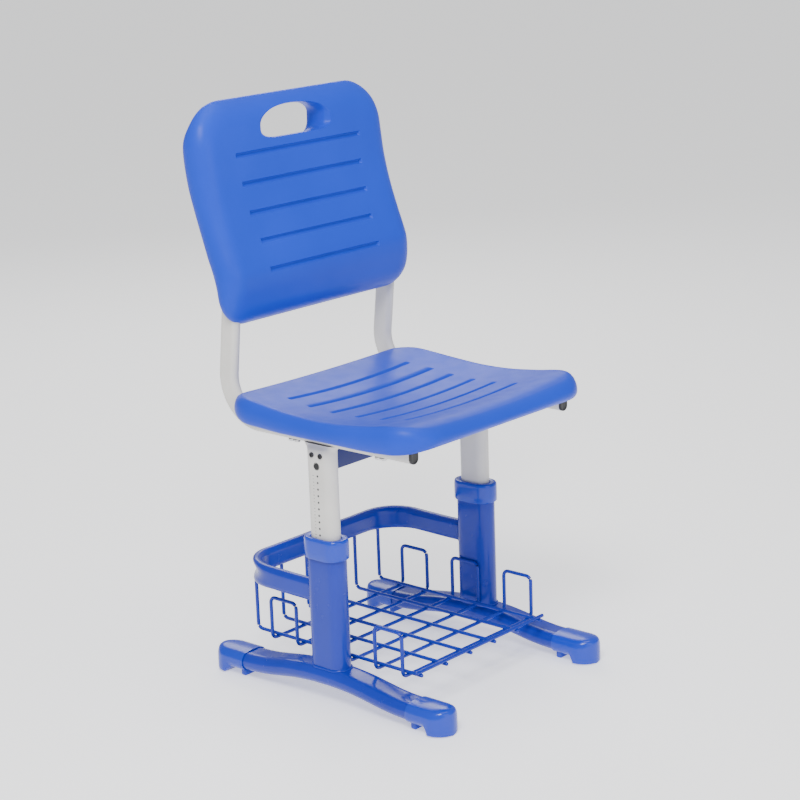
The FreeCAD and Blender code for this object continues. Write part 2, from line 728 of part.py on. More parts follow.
def make_shoe(name, side):
    """Guide shoe round the inner tube's lower end, sliding in the outer tube."""
    floor = 2
    body = new_body(f"slide_shoe_{name}")
    outside = sketch_on(body, "XY_Plane", "outside")
    add_oval(outside, "outside", s.column_length - 2 * s.column_wall - 2 * s.slide_gap,
             s.column_width - 2 * s.column_wall - 2 * s.slide_gap)
    pad(body, outside, "block", s.shoe_length)
    socket = sketch_on(body, "XY_Plane", "socket", floor)
    add_oval(socket, "socket", s.inner_length, s.inner_width)
    pocket(body, socket, "socket", reverse=True)
    bore = sketch_on(body, "XY_Plane", "bore", s.shoe_length)
    add_oval(bore, "bore", s.inner_length - 2 * s.inner_wall, s.inner_width - 2 * s.inner_wall)
    pocket(body, bore, "bore")
    place(body, half_spacing * side, 0, s.inner_foot - floor)


def make_cross_beam():
    """Box beam between the inner columns; the cross shaft runs inside it."""
    body = new_body("cross_beam")
    section = sketch_on(body, "YZ_Plane", "section", -inner_face)
    add_rectangle(section, "outside", s.beam_width, s.beam_height)
    add_rectangle(section, "inside", s.beam_width - 2 * s.beam_wall, s.beam_height - 2 * s.beam_wall,
                  up=s.beam_wall)
    pad(body, section, "beam", inner_face * 2)
    place(body, 0, 0, s.shaft_height - s.beam_drop)


def screw(shank, head, length, head_height):
    """A pan-head screw with its head's seat at the origin, pointing up."""
    body = cylinder(shank / 2, length, Vector(), UP)
    cap = cylinder(head / 2, head_height, Vector(), -UP)
    crown = [edge for edge in cap.Edges if edge.CenterOfMass.z < -head_height + 0.1 and edge.Closed]
    recess = Part.makePolygon([Vector(shank * 0.3 * math.cos(math.radians(60 * i)),
                                      shank * 0.3 * math.sin(math.radians(60 * i)), -head_height)
                               for i in range(7)])
    socket = Part.Face(recess).extrude(UP * (head_height * 0.6))
    return cap.makeFillet(head_height * 0.4, crown).fuse(body).cut(socket).removeSplitter()


def set_screws(label, spots, shank, head, length, head_height):
    """Identical screws as separate solids; each spot is a seat and a direction."""
    solids = []
    for seat, direction in spots:
        item = screw(shank, head, length, head_height)
        item.Placement = FreeCAD.Placement(seat, FreeCAD.Rotation(UP, direction))
        solids.append(item)
    feature(label, Part.makeCompound(solids))


for side_name, side_sign in SIDES:
    make_side_frame(side_name, side_sign)
    make_rail_plug(side_name, side_sign)
    make_inner_column(side_name, side_sign)
    make_shoe(side_name, side_sign)
make_cross_beam()

# ------------------------------------------------------------------ moulded seat and back

# Stations of the seat, rear to front: distance behind the columns' centre, half width as a share
# of the widest, height of the upper side edges above the rails, rise of the underside, and how
# much of the full dish the top has there.
SEAT_STATIONS = (
    (160, 0.70, 27, 17, 0.0),
    (155, 0.80, 32, 12, 0.15),
    (143, 0.90, 35, 6, 0.45),
    (120, 0.955, 35.5, 2, 0.8),
    (90, 0.985, 33, 1, 1.0),
    (50, 1.0, 29, 0, 1.0),
    (0, 1.0, 26, 0, 1.0),
    (-50, 1.0, 27, 0, 1.0),
    (-100, 1.0, 32, 0, 1.0),
    (-135, 0.985, 37, 1, 0.9),
    (-160, 0.95, 38, 3, 0.75),
    (-178, 0.88, 32, 7, 0.6),
    (-188, 0.79, 25, 11, 0.5),
)
SEAT_DISH = 11.5
SEAT_RADII = (7, 14)
SEAT_SCREW_GRIP = 7
BOSS_RADIUS = 7

# Stations of the back, bottom to top: height above the rails, half width as a share of the
# widest, and how far its front and rear faces lie behind the columns' centre.
BACK_STATIONS = (
    (127, 0.84, 141, 155),
    (133, 0.915, 134, 159),
    (145, 0.965, 130, 160.5),
    (162, 0.99, 128, 161),
    (179, 1.0, 125.5, 164),
    (198, 1.0, 125.6, 170),
    (218, 1.0, 132, 178),
    (236, 1.0, 139.4, 184),
    (273, 1.0, 152.5, 196.5),
    (311, 1.0, 162, 208),
    (348, 1.0, 167.5, 214),
    (373, 0.99, 171, 214),
    (393, 0.965, 174.5, 210),
    (406, 0.91, 178, 209),
    (415, 0.83, 182, 208),
    (421, 0.73, 187, 204),
)
BACK_RADII = (24, 14)


def rounded_outline(corners, radii, bow=0):
    """A closed outline of four rounded corners; the side from 2 to 3 may bow inwards."""
    count = len(corners)
    edges = []
    trims = []
    for index, corner in enumerate(corners):
        radius = radii[index]
        to_before = (corners[index - 1] - corner).normalize()
        to_after = (corners[(index + 1) % count] - corner).normalize()
        centre = corner + (to_before + to_after) * radius
        middle = centre - (to_before + to_after).normalize() * radius
        trims.append((corner + to_before * radius, middle, corner + to_after * radius))
    for index in range(count):
        start = trims[index][2]
        end = trims[(index + 1) % count][0]
        edges.append(Part.Arc(*trims[index]).toShape())
        if bow and index == 2:
            middle = (start + end) / 2 - UP * bow
            edges.append(Part.Arc(start, middle, end).toShape())
        else:
            edges.append(Part.LineSegment(start, end).toShape())
    return Part.Wire(edges)


def fitted_radii(first, second, thickness, inset):
    """Corner radii on the two faces of a moulding, never more than its thickness allows."""
    room = 0.9 * thickness / (first + second)
    share = min(1.0, room)
    return [max(first * share - inset, 1.0), max(second * share - inset, 1.0)]


def seat_solid(inset):
    """The seat's outer form, or the form of its hollow when inset by the wall."""
    flat = 0.1
    sections = []
    rail = float(s.rail_height)
    ends = (SEAT_STATIONS[0], SEAT_STATIONS[-1])
    for entry in SEAT_STATIONS:
        station, share, crown, rise, dish_share = entry
        half = float(half_spacing + s.seat_overhang) * share - inset
        low = float(seat_floor) + rise + inset
        high = rail + crown - inset
        y = station
        if entry in ends:
            y -= math.copysign(inset, station)
        corners = [Vector(-half, y, low), Vector(half, y, low), Vector(half, y, high), Vector(-half, y, high)]
        under, over = fitted_radii(*SEAT_RADII, high - low, inset)
        dish = max(flat, min(SEAT_DISH * dish_share, (high - low) * 0.5))
        sections.append(rounded_outline(corners, (under, under, over, over), dish))
    return Part.makeLoft(sections, True, False)


def back_solid(inset):
    """The back's outer form, or the form of its hollow when inset by the wall."""
    sections = []
    ends = (BACK_STATIONS[0], BACK_STATIONS[-1])
    for entry in BACK_STATIONS:
        station, share, front, rear = entry
        half = float(half_spacing + s.back_overhang) * share - inset
        z = float(s.rail_height) + station
        if entry in ends:
            z += inset if entry is ends[0] else -inset
        near = front + inset
        far = rear - inset
        corners = [Vector(-half, near, z), Vector(half, near, z), Vector(half, far, z), Vector(-half, far, z)]
        fore, aft = fitted_radii(*BACK_RADII, far - near, inset)
        sections.append(rounded_outline(corners, (fore, fore, aft, aft)))
    return Part.makeLoft(sections, True, False)


def seat_top(y):
    """Height of the seat's upper side edges at y, read between its stations."""
    for before, after in zip(SEAT_STATIONS, SEAT_STATIONS[1:]):
        rear, _, high_a, _, _ = before
        front, _, high_b, _, _ = after
        if front <= y <= rear:
            share = (rear - y) / (rear - front)
            return float(s.rail_height) + high_a + (high_b - high_a) * share
    raise ValueError("outside the seat")


def back_front(z):
    """How far the back's front face lies behind the columns' centre at height z."""
    above = z - float(s.rail_height)
    for (low, _, front_a, _), (high, _, front_b, _) in zip(BACK_STATIONS, BACK_STATIONS[1:]):
        if low <= above <= high:
            return front_a + (front_b - front_a) * (above - low) / (high - low)
    raise ValueError("outside the back")


def handle_outline(y, growth):
    """The hand hole's outline at y: a flat bottom, rounded lower corners and an arched top."""
    bottom = float(s.rail_height) + 366 - growth
    foot = 33 + growth * 0.7
    shoulder = 47.5 + growth
    waist = bottom + 16 + growth
    top = bottom + 39 + 2 * growth
    points = {}
    for hand in (-1, 1):
        points[hand] = (Vector(hand * foot, y, bottom),
                        Vector(hand * (foot + (shoulder - foot) * 0.78), y, bottom + (waist - bottom) * 0.3),
                        Vector(hand * shoulder, y, waist))
    arch = math.sqrt(0.5)
    right, left = points[1], points[-1]
    right_haunch = Vector(shoulder * arch, y, waist + (top - waist) * arch)
    left_haunch = Vector(-shoulder * arch, y, waist + (top - waist) * arch)
    crown = Part.BSplineCurve()
    crown.interpolate([right[2], right_haunch, Vector(0, y, top), left_haunch, left[2]])
    edges = [Part.LineSegment(left[0], right[0]).toShape(), Part.Arc(*right).toShape(),
             crown.toShape(), Part.Arc(*reversed(left)).toShape()]
    return Part.Wire(edges)


def handle_form(growth):
    """The hand hole: narrowest at a neck inside the back, flared to both faces."""
    neck = 192
    flare = 15
    reach = 30
    form = None
    for direction in (-1, 1):
        outlines = [handle_outline(neck, growth), handle_outline(neck + direction * reach * 0.45, growth + flare * 0.3),
                    handle_outline(neck + direction * reach, growth + flare * 1.35)]
        half = Part.makeLoft(outlines, True, False)
        form = half if form is None else form.fuse(half)
    return form


def rail_run(x):
    """The centre line of one side tube as straight and round edges, front to top."""
    points = [Vector(x, point.x, point.y + float(s.rail_height)) for point in rail_points()]
    return bent_edges(points, [float(s.rail_bend), float(s.knee_bend)])


def rail_channel(grown):
    """The room that the rails' straight runs need under the seat, open downwards."""
    cuts = []
    front = -float(s.rail_front) - float(s.rail_depth) * 2
    rear = rail_run(0)[0].EndPoint.y
    width = float(s.rail_width) + 2 * grown
    top = float(s.rail_height + s.rail_depth / 2) + grown
    straight = top - width / 2
    foot = float(s.rail_height - s.rail_depth)
    for _, side in SIDES:
        x = side * float(half_spacing)
        cuts.append(Part.makeBox(width, rear - front, straight - foot, Vector(x - width / 2, front, foot)))
        cuts.append(cylinder(width / 2, rear - front, Vector(x, front, straight), -FORWARD))
    return cuts


def rail_form(x, first):
    """The room that one side tube needs from the given edge of its run up to its end."""
    radius = float(s.rail_width) / 2
    edges = rail_run(x)[first:]
    path = Part.Wire([edge.toShape() for edge in edges])
    start = edges[0].value(edges[0].FirstParameter)
    along = edges[0].tangent(edges[0].FirstParameter)[0]
    tall = Vector(1, 0, 0).cross(along)
    side = Vector(radius, 0, 0)
    corner = tall * (float(s.rail_depth) / 2 - radius)
    outline = Part.Wire([
        Part.LineSegment(start - side - corner, start - side + corner).toShape(),
        Part.Arc(start - side + corner, start + corner + tall * radius, start + side + corner).toShape(),
        Part.LineSegment(start + side + corner, start + side - corner).toShape(),
        Part.Arc(start + side - corner, start - corner - tall * radius, start - side - corner).toShape()])
    return path.makePipeShell([outline], True, False)


def make_seat():
    """Hollow seat with six cross grooves, rail channels below and solid blocks for its screws."""
    groove_half = 122
    groove_places = (90, 49, 10, -32, -72, -112)
    groove_spread = 1.35
    vent = 3
    rear_web = (115, 60)
    wall = float(s.shell_wall)
    column_line = float(half_spacing)
    floor = float(seat_floor)
    rail_top = float(s.rail_height + s.rail_depth / 2)
    web = float(s.rail_width) / 2 + wall
    shape = seat_solid(0)
    hollow = seat_solid(wall).cut(rail_channel(wall))
    for side in (-1, 1):
        corner = Vector(side * column_line - web, rear_web[0], floor)
        hollow = hollow.cut(Part.makeBox(2 * web, rear_web[1], rear_web[1], corner))
        for y in SEAT_SCREW_PLACES:
            boss = cylinder(BOSS_RADIUS, rear_web[1], Vector(side * column_line, y, floor), UP)
            hollow = hollow.cut(boss)
    shape = shape.cut(hollow).cut(rail_channel(0))
    for side in (-1, 1):
        shape = shape.cut(rail_form(side * column_line, 1))
    bow = (groove_half ** 2 + SEAT_DISH ** 2) / (2 * SEAT_DISH) * groove_spread
    for y in groove_places:
        height = seat_top(y)
        ring = Part.makeTorus(bow, float(s.groove), Vector(0, y, height - SEAT_DISH + bow), Vector(0, 1, 0))
        reach = Part.makeBox(2 * groove_half, 8 * float(s.groove), bow,
                             Vector(-groove_half, y - 4 * float(s.groove), height - bow + SEAT_DISH))
        shape = shape.cut(ring.common(reach))
    for side in (-1, 1):
        for y in SEAT_SCREW_PLACES:
            hole_foot = Vector(side * column_line, y, rail_top - 1)
            shape = shape.cut(cylinder(M5_SHANK / 2, SEAT_SCREW_GRIP + 1, hole_foot, UP))
    shape = shape.cut(cylinder(vent, 3 * wall, Vector(0, 0, floor - wall), UP))
    feature("seat_shell", shape.removeSplitter())


def make_back():
    """Hollow back with five grooves, a hand hole, and a socket for each upright."""
    groove_half = 122
    groove_heights = (349.5, 311, 272.5, 235.5, 198)
    vent = 3
    head_gap = 0.5
    screw_depth = BACK_SCREW_LENGTH - float(s.rail_depth) / 2 + 1
    wall = float(s.shell_wall)
    base = float(s.rail_height) + BACK_STATIONS[0][0]
    depth = 2 * float(s.upright_top_reach)
    web = float(s.rail_width) / 2 + wall
    shape = back_solid(0)
    hollow = back_solid(wall)
    for _, side in SIDES:
        corner = Vector(side * float(half_spacing) - web, 0, base)
        hollow = hollow.cut(Part.makeBox(2 * web, depth, float(s.upright_top) + 2 * wall - base, corner))
    hollow = hollow.cut(handle_form(wall))
    shape = shape.cut(hollow).cut(handle_form(0))
    for height in groove_heights:
        z = float(s.rail_height) + height
        groove = cylinder(s.groove, 2 * groove_half, Vector(-groove_half, back_front(z), z), Vector(1, 0, 0))
        shape = shape.cut(groove)
    for _, side in SIDES:
        shape = shape.cut(rail_form(side * float(half_spacing), 2))
        for reach, height in back_screw_spots():
            seat = Vector(side * float(half_spacing), float(reach), float(height))
            shape = shape.cut(cylinder(BACK_SCREW_HEAD / 2 + head_gap, depth, seat, back_normal()))
            shape = shape.cut(cylinder(M5_SHANK / 2, screw_depth, seat, -back_normal()))
    shape = shape.cut(cylinder(vent, 3 * wall, Vector(0, sum(BACK_STATIONS[0][2:]) / 2, base - wall), UP))
    feature("back_shell", shape.removeSplitter())


make_seat()
make_back()

# ------------------------------------------------------------------ crank gear

GEAR_BACK = 0.4
GEAR_INNER = 0.72
BLOCK_BORE = 16
CAVITY_HALF_DEPTH = 10.6
CAVITY_FOOT = 10
CAVITY_TOP_MARGIN = 13.3


def gear_radii():
    """Root and tip radii of the mitre gears' teeth at their large end."""
    pitch = float(s.gear_radius)
    module = 2 * pitch / float(s.gear_teeth)
    return pitch - 0.95 * module, pitch + 0.55 * module


def mitre_gear(phase):
    """A straight-toothed mitre gear on +Z with its cone's apex at the origin, teeth facing up.

    The wheel lies below the origin.  Each tooth is a wedge that shrinks towards the apex.
    """
    root_thickness = 0.59
    tip_thickness = 0.24
    bury = 0.94
    pitch = float(s.gear_radius)
    teeth = int(s.gear_teeth.value)
    root, tip = gear_radii()
    blank = Part.makeCone(root, root * GEAR_INNER, pitch * (1 - GEAR_INNER), Vector(0, 0, -pitch), UP)
    blank = blank.fuse(Part.makeCylinder(root, GEAR_BACK, Vector(0, 0, -pitch - GEAR_BACK)))
    root_half = math.pi / teeth * root_thickness
    tip_half = math.pi / teeth * tip_thickness
    for index in range(teeth):
        angle = 2 * math.pi * (index + phase) / teeth
        wires = []
        for scale in (1.0, GEAR_INNER):
            corners = []
            for radius, half in ((root * bury, -root_half), (tip, -tip_half), (tip, tip_half),
                                 (root * bury, root_half)):
                corners.append(Vector(radius * scale * math.cos(angle + half),
                                      radius * scale * math.sin(angle + half), -pitch * scale))
            wires.append(Part.makePolygon(corners + corners[:1]))
        blank = blank.fuse(Part.makeLoft(wires, True, True))
    return blank.removeSplitter()


def make_screw_gear(name, side):
    """The mitre gear on top of a lead screw, its hub seated over the bearing."""
    hub = gear_radii()[0] * 0.8
    hub_foot = float(s.shaft_height - s.block_foot) - CAVITY_FOOT - float(s.end_gap)
    hub_top = float(s.gear_radius) + GEAR_BACK
    gear = mitre_gear(0).fuse(Part.makeCylinder(hub, hub_foot - hub_top, Vector(0, 0, -hub_foot)))
    bore = Part.makeCylinder(float(s.screw_diameter) / 2, hub_foot, Vector(0, 0, -hub_foot))
    part = feature(f"screw_gear_{name}", gear.cut(bore).removeSplitter())
    place(part, half_spacing * side, 0, s.shaft_height)


def make_shaft_gear(name, side):
    """The mitre gear on the cross shaft, on the inner side of the column's centre."""
    reach = 2 * float(s.gear_radius)
    bore = Part.makeCylinder(float(s.shaft_diameter) / 2, reach, Vector(0, 0, -reach))
    part = feature(f"shaft_gear_{name}", mitre_gear(0.5).cut(bore).removeSplitter())
    # The apex stays at the column's centre and the wheel lies towards the chair's middle.
    place(part, half_spacing * side, 0, s.shaft_height, FreeCAD.Rotation(Vector(0, 1, 0), 90 * side))


def make_lead_screw(name, side):
    """The lead screw: a plain rod at its mean diameter with a collar under the gear block."""
    collar_height = 5
    collar_radius = 7
    gear_depth = float(s.gear_radius) * 1.12
    body = new_body(f"lead_screw_{name}")
    rod = sketch_on(body, "XY_Plane", "rod")
    add_circle(rod, "rod", s.screw_diameter)
    pad(body, rod, "rod", s.shaft_height - s.screw_foot - gear_depth)
    collar = sketch_on(body, "XY_Plane", "collar", s.block_foot - s.screw_foot - s.end_gap)
    add_circle(collar, "collar", 2 * collar_radius)
    pad(body, collar, "collar", Length.of(collar_height), reverse=True)
    place(body, half_spacing * side, 0, s.screw_foot)


def make_cross_shaft():
    """The shaft from the crank port to the far column, with the crank's hexagon socket."""
    port_gap = 2
    right_end = column_face - s.inner_wall - port_gap
    left_end = half_spacing - s.gear_radius * GEAR_INNER
    rod = cylinder(s.shaft_diameter / 2, right_end + left_end, Vector(-float(right_end), 0, 0), Vector(1, 0, 0))
    corner = float(s.crank_hex) / 2 / math.cos(math.radians(30))
    points = [Vector(-float(right_end), corner * math.cos(math.radians(60 * i + 30)),
                     corner * math.sin(math.radians(60 * i + 30))) for i in range(7)]
    socket = Part.Face(Part.makePolygon(points)).extrude(Vector(float(s.crank_depth), 0, 0))
    shaft = feature("cross_shaft", rod.cut(socket))
    place(shaft, 0, 0, s.shaft_height)


def make_gear_block(name, side):
    """The block inside a column's top that carries the bearing and the fixing screws."""
    fit = 2 * s.inner_wall
    height = s.block_top - s.block_foot
    body = new_body(f"gear_block_{name}")
    outside = sketch_on(body, "XY_Plane", "outside")
    add_oval(outside, "outside", s.inner_length - fit, s.inner_width - fit)
    pad(body, outside, "block", height)
    cavity = sketch_on(body, "YZ_Plane", "cavity", s.inner_width)
    top = s.shaft_height - s.block_foot + s.gear_radius * 1.12
    add_rectangle(cavity, "cavity", 2 * CAVITY_HALF_DEPTH, top - CAVITY_FOOT, up=CAVITY_FOOT)
    pocket(body, cavity, "cavity")
    bore = sketch_on(body, "XY_Plane", "bore", CAVITY_FOOT)
    add_circle(bore, "bore", BLOCK_BORE)
    pocket(body, bore, "bore", Length.of(CAVITY_FOOT))
    screws = sketch_on(body, "YZ_Plane", "screws", s.inner_width / 2 * side)
    for index, across in enumerate((s.port_screw_pitch / -2, s.port_screw_pitch / 2)):
        add_circle(screws, f"screw{index}", M4_SHANK, across, s.port_screw_height - s.block_foot)
    pocket(body, screws, "screws", s.inner_width / 2, reverse=side < 0)
    place(body, half_spacing * side, 0, s.block_foot)


def make_screw_bearing(name, side):
    body = new_body(f"screw_bearing_{name}")
    ring = sketch_on(body, "XY_Plane", "ring")
    add_circle(ring, "outside", BLOCK_BORE)
    add_circle(ring, "inside", s.screw_diameter + 2 * s.running_gap)
    pad(body, ring, "ring", Length.of(CAVITY_FOOT))
    place(body, half_spacing * side, 0, s.block_foot)


def make_shaft_bush(name, side):
    """A flanged bush in the inner wall; its flange sits between the wall and the gear."""
    barrel = 8
    flange_diameter = 18
    flange = s.inner_width / 2 - s.inner_wall - s.gear_radius - GEAR_BACK - s.end_gap
    bore = s.shaft_diameter + 2 * s.running_gap
    body = new_body(f"shaft_bush_{name}")
    start = s.inner_wall - s.inner_width / 2
    plate = sketch_on(body, "YZ_Plane", "flange", start * side)
    add_circle(plate, "outside", flange_diameter)
    add_circle(plate, "inside", bore)
    pad(body, plate, "flange", flange, reverse=side < 0)
    sleeve = sketch_on(body, "YZ_Plane", "barrel", start * side)
    add_circle(sleeve, "outside", BUSH_OUTSIDE)
    add_circle(sleeve, "inside", bore)
    pad(body, sleeve, "barrel", Length.of(barrel), reverse=side > 0)
    place(body, half_spacing * side, 0, s.shaft_height)


for side_name, side_sign in SIDES:
    make_gear_block(side_name, side_sign)
    make_screw_bearing(side_name, side_sign)
    make_shaft_bush(side_name, side_sign)
    make_lead_screw(side_name, side_sign)
    make_screw_gear(side_name, side_sign)
    make_shaft_gear(side_name, side_sign)
make_cross_shaft()

# ------------------------------------------------------------------ screws

rail_floor = float(s.rail_height - s.rail_depth / 2)
column_x = float(half_spacing)
seat_screw_seats = [(Vector(side * column_x, y, rail_floor), UP) for _, side in SIDES for y in SEAT_SCREW_PLACES]
back_screw_seats = [(Vector(side * column_x, float(reach), float(height)) + back_normal() * float(s.rail_depth) / 2,
                     -back_normal()) for _, side in SIDES for reach, height in back_screw_spots()]
block_screw_seats = [(Vector(side * float(column_face), across * float(s.port_screw_pitch) / 2,
                             float(s.port_screw_height)), Vector(-side, 0, 0))
                     for _, side in SIDES for across in (-1, 1)]
set_screws("seat_screws", seat_screw_seats, M5_SHANK, M5_HEAD,
           float(s.rail_depth) + SEAT_SCREW_GRIP, SCREW_HEAD_HEIGHT)
set_screws("back_screws", back_screw_seats, M5_SHANK, BACK_SCREW_HEAD, BACK_SCREW_LENGTH, SCREW_HEAD_HEIGHT)
set_screws("gear_block_screws", block_screw_seats, M4_SHANK, M4_HEAD,
           float(s.inner_width) / 2, M4_HEAD_HEIGHT)

# ------------------------------------------------------------------ checks and export

doc.recompute()
for item in doc.Objects:
    if "Invalid" in item.State or "Error" in item.State:
        raise RuntimeError(f"{item.Label} did not recompute: {item.State}")

os.makedirs("parts", exist_ok=True)
for item in PIECES:
    if item.Shape.isNull() or not item.Shape.isValid() or not item.Shape.Solids:
        raise RuntimeError(f"{item.Label} has no valid solid")
    item.Shape.exportStep(f"parts/{item.Label}.step")
print(len(PIECES), "pieces written")
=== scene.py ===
import json
import math
import random

import bmesh
import bpy
from mathutils import Matrix, Vector, noise


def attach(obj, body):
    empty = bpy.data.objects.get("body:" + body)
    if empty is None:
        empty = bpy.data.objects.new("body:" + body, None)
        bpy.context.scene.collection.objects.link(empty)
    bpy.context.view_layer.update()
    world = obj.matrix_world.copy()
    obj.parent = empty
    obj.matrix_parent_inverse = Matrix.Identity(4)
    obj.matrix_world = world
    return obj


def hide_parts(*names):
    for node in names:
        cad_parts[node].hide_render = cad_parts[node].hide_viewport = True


# Height-adjustable school chair.  Lengths below are in millimetres in the CAD frame and are
# turned into metres when a mesh is made: origin on the floor, +Z up, the sitter faces -Y.

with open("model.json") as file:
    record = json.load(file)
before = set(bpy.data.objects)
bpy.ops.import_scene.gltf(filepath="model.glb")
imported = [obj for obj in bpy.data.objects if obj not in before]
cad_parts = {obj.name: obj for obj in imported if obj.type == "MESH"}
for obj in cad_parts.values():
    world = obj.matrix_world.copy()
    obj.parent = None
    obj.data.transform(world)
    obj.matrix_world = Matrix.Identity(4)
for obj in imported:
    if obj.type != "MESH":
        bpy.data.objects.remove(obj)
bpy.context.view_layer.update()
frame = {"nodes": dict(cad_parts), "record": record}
nodes = frame["nodes"]
MM = 0.001
SIDES = (("right", -1), ("left", 1))
LEG = 156.0

# ------------------------------------------------------------------ mesh helpers


def mesh_object(name, verts, faces, smooth=True, sharp_angle=None):
    """A mesh from points in millimetres, with outward normals."""
    data = bpy.data.meshes.new(name)
    data.from_pydata([Vector(v) * MM for v in verts], [], faces)
    bm = bmesh.new()
    bm.from_mesh(data)
    bmesh.ops.remove_doubles(bm, verts=bm.verts, dist=1e-6)
    bmesh.ops.dissolve_degenerate(bm, edges=bm.edges, dist=1e-7)
    bmesh.ops.recalc_face_normals(bm, faces=bm.faces)
    bm.to_mesh(data)
    bm.free()
    item = bpy.data.objects.new(name, data)
    bpy.context.scene.collection.objects.link(item)
    for poly in data.polygons:
        poly.use_smooth = smooth
    if sharp_angle is not None:
        mark_sharp(data, sharp_angle)
    return item


def mark_sharp(data, degrees):
    """Edges that turn by more than the angle stay crisp under smooth shading."""
    bm = bmesh.new()
    bm.from_mesh(data)
    limit = math.radians(degrees)
    for edge in bm.edges:
        if len(edge.link_faces) == 2 and edge.calc_face_angle(0.0) > limit:
            edge.smooth = False
    bm.to_mesh(data)
    bm.free()


def apply_modifiers(item):
    """Replace an object's mesh by what its modifiers make of it."""
    graph = bpy.context.evaluated_depsgraph_get()
    data = bpy.data.meshes.new_from_object(item.evaluated_get(graph))
    item.modifiers.clear()
    item.data = data


def finish_piece(item, body, material, slot, *replaced):
    item.data.materials.clear()
    item.data.materials.append(material)
    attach(item, body)
    if replaced:
        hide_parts(*replaced)
    return item


def arc_points(points, radii, step=6.0, straight=25.0):
    """Points and tangents along straight runs joined by arcs, in 3-D."""
    points = [Vector(p) for p in points]
    out = []

    def run(a, b):
        length = (b - a).length
        count = max(1, int(length / straight))
        along = (b - a).normalized()
        for i in range(count + 1):
            out.append((a.lerp(b, i / count), along))

    start = points[0]
    for before, corner, after, radius in zip(points, points[1:], points[2:], radii):
        u = (before - corner).normalized()
        v = (after - corner).normalized()
        half = u.angle(v) / 2
        setback = radius / math.tan(half)
        p = corner + u * setback
        q = corner + v * setback
        centre = corner + (u + v).normalized() * (radius / math.sin(half))
        run(start, p)
        turn = math.pi - 2 * half
        count = max(3, int(radius * turn / step))
        e1 = (p - centre).normalized()
        e2 = -u
        for i in range(1, count):
            angle = turn * i / count
            out.append((centre + (e1 * math.cos(angle) + e2 * math.sin(angle)) * radius,
                        (e2 * math.cos(angle) - e1 * math.sin(angle)).normalized()))
        start = q
    run(start, points[-1])
    cleaned = [out[0]]
    for entry in out[1:]:
        if (entry[0] - cleaned[-1][0]).length > 0.05:
            cleaned.append(entry)
    return cleaned


def oval(length, width, arc_count=12, side_count=3):
    """Points of a flat oval: length along the second coordinate, width along the first."""
    radius = width / 2
    half = length / 2 - radius
    ring = []
    for i in range(arc_count + 1):
        angle = math.pi * i / arc_count
        ring.append((radius * math.cos(angle), half + radius * math.sin(angle)))
    for i in range(1, side_count):
        ring.append((-radius, half - 2 * half * i / side_count))
    for i in range(arc_count + 1):
        angle = math.pi + math.pi * i / arc_count
        ring.append((radius * math.cos(angle), -half + radius * math.sin(angle)))
    for i in range(1, side_count):
        ring.append((radius, -half + 2 * half * i / side_count))
    return ring


def sweep(name, path, section, side=None, wall=None, closed=False, sharp_angle=50):
    """Sweep a ring along points and tangents.

    section is a ring, or a function of the station's index that gives one.  side is the fixed
    direction of the ring's first coordinate.  With a wall the tube is open at both ends.
    """
    verts = []
    faces = []

    def ring_at(index, shrink=0.0):
        centre, along = path[index]
        if side is None:
            guess = Vector((0, 0, 1)) if abs(along.z) < 0.9 else Vector((0, 1, 0))
            first = guess.cross(along).normalized()
        else:
            first = (side - along * side.dot(along)).normalized()
        second = along.cross(first).normalized()
        ring = section(index) if callable(section) else section
        if shrink:
            longest = max(abs(v) for _, v in ring)
            widest = max(abs(u) for u, _ in ring)
            ring = [(u * (widest - shrink) / widest, v * (longest - shrink) / longest) for u, v in ring]
        return [centre + first * u + second * v for u, v in ring]

    def band(first, second, count, flip=False):
        for j in range(count):
            k = (j + 1) % count
            quad = (first + j, first + k, second + k, second + j)
            faces.append(quad[::-1] if flip else quad)

    starts = []
    for index in range(len(path)):
        starts.append(len(verts))
        verts.extend(ring_at(index))
    count = len(section(0) if callable(section) else section)
    for a, b in zip(starts, starts[1:]):
        band(a, b, count)
    if closed:
        band(starts[-1], starts[0], count)
    elif wall:
        inner = []
        for index in (0, len(path) - 1):
            inner.append(len(verts))
            verts.extend(ring_at(index, wall))
        band(starts[0], inner[0], count, True)
        band(starts[-1], inner[1], count)
        deep = []
        for index, base in ((1, 0), (len(path) - 2, 1)):
            deep.append(len(verts))
            verts.extend(ring_at(index, wall))
            band(inner[base], deep[base], count, base == 0)
        faces.append(tuple(range(deep[0], deep[0] + count)))
        faces.append(tuple(range(deep[1], deep[1] + count)))
    else:
        faces.append(tuple(range(starts[0], starts[0] + count))[::-1])
        faces.append(tuple(range(starts[-1], starts[-1] + count)))
    return mesh_object(name, verts, faces, sharp_angle=sharp_angle)


def wire_rod(name, path, radius, sides=14, closed=False):
    """A round wire with domed ends."""
    ring = [(radius * math.cos(2 * math.pi * i / sides), radius * math.sin(2 * math.pi * i / sides))
            for i in range(sides)]
    if closed:
        return sweep(name, path, ring, closed=True)
    dome = ((0.35, 0.94), (0.7, 0.72), (0.92, 0.40), (1.0, 0.12))
    first, first_way = path[0]
    last, last_way = path[-1]
    stations = list(path)
    depth = radius * 0.8
    front = [(first + first_way * depth * (1 - out), first_way, size) for out, size in reversed(dome)]
    back = [(last - last_way * depth * (1 - out), last_way, size) for out, size in dome]
    stations[0] = (first + first_way * depth, first_way)
    stations[-1] = (last - last_way * depth, last_way)
    full = [(p, t) for p, t, _ in front] + stations + [(p, t) for p, t, _ in back]
    scales = [size for _, _, size in front] + [1.0] * len(path) + [size for _, _, size in back]

    def section(index):
        return [(u * scales[index], v * scales[index]) for u, v in ring]

    return sweep(name, full, section, sharp_angle=None)


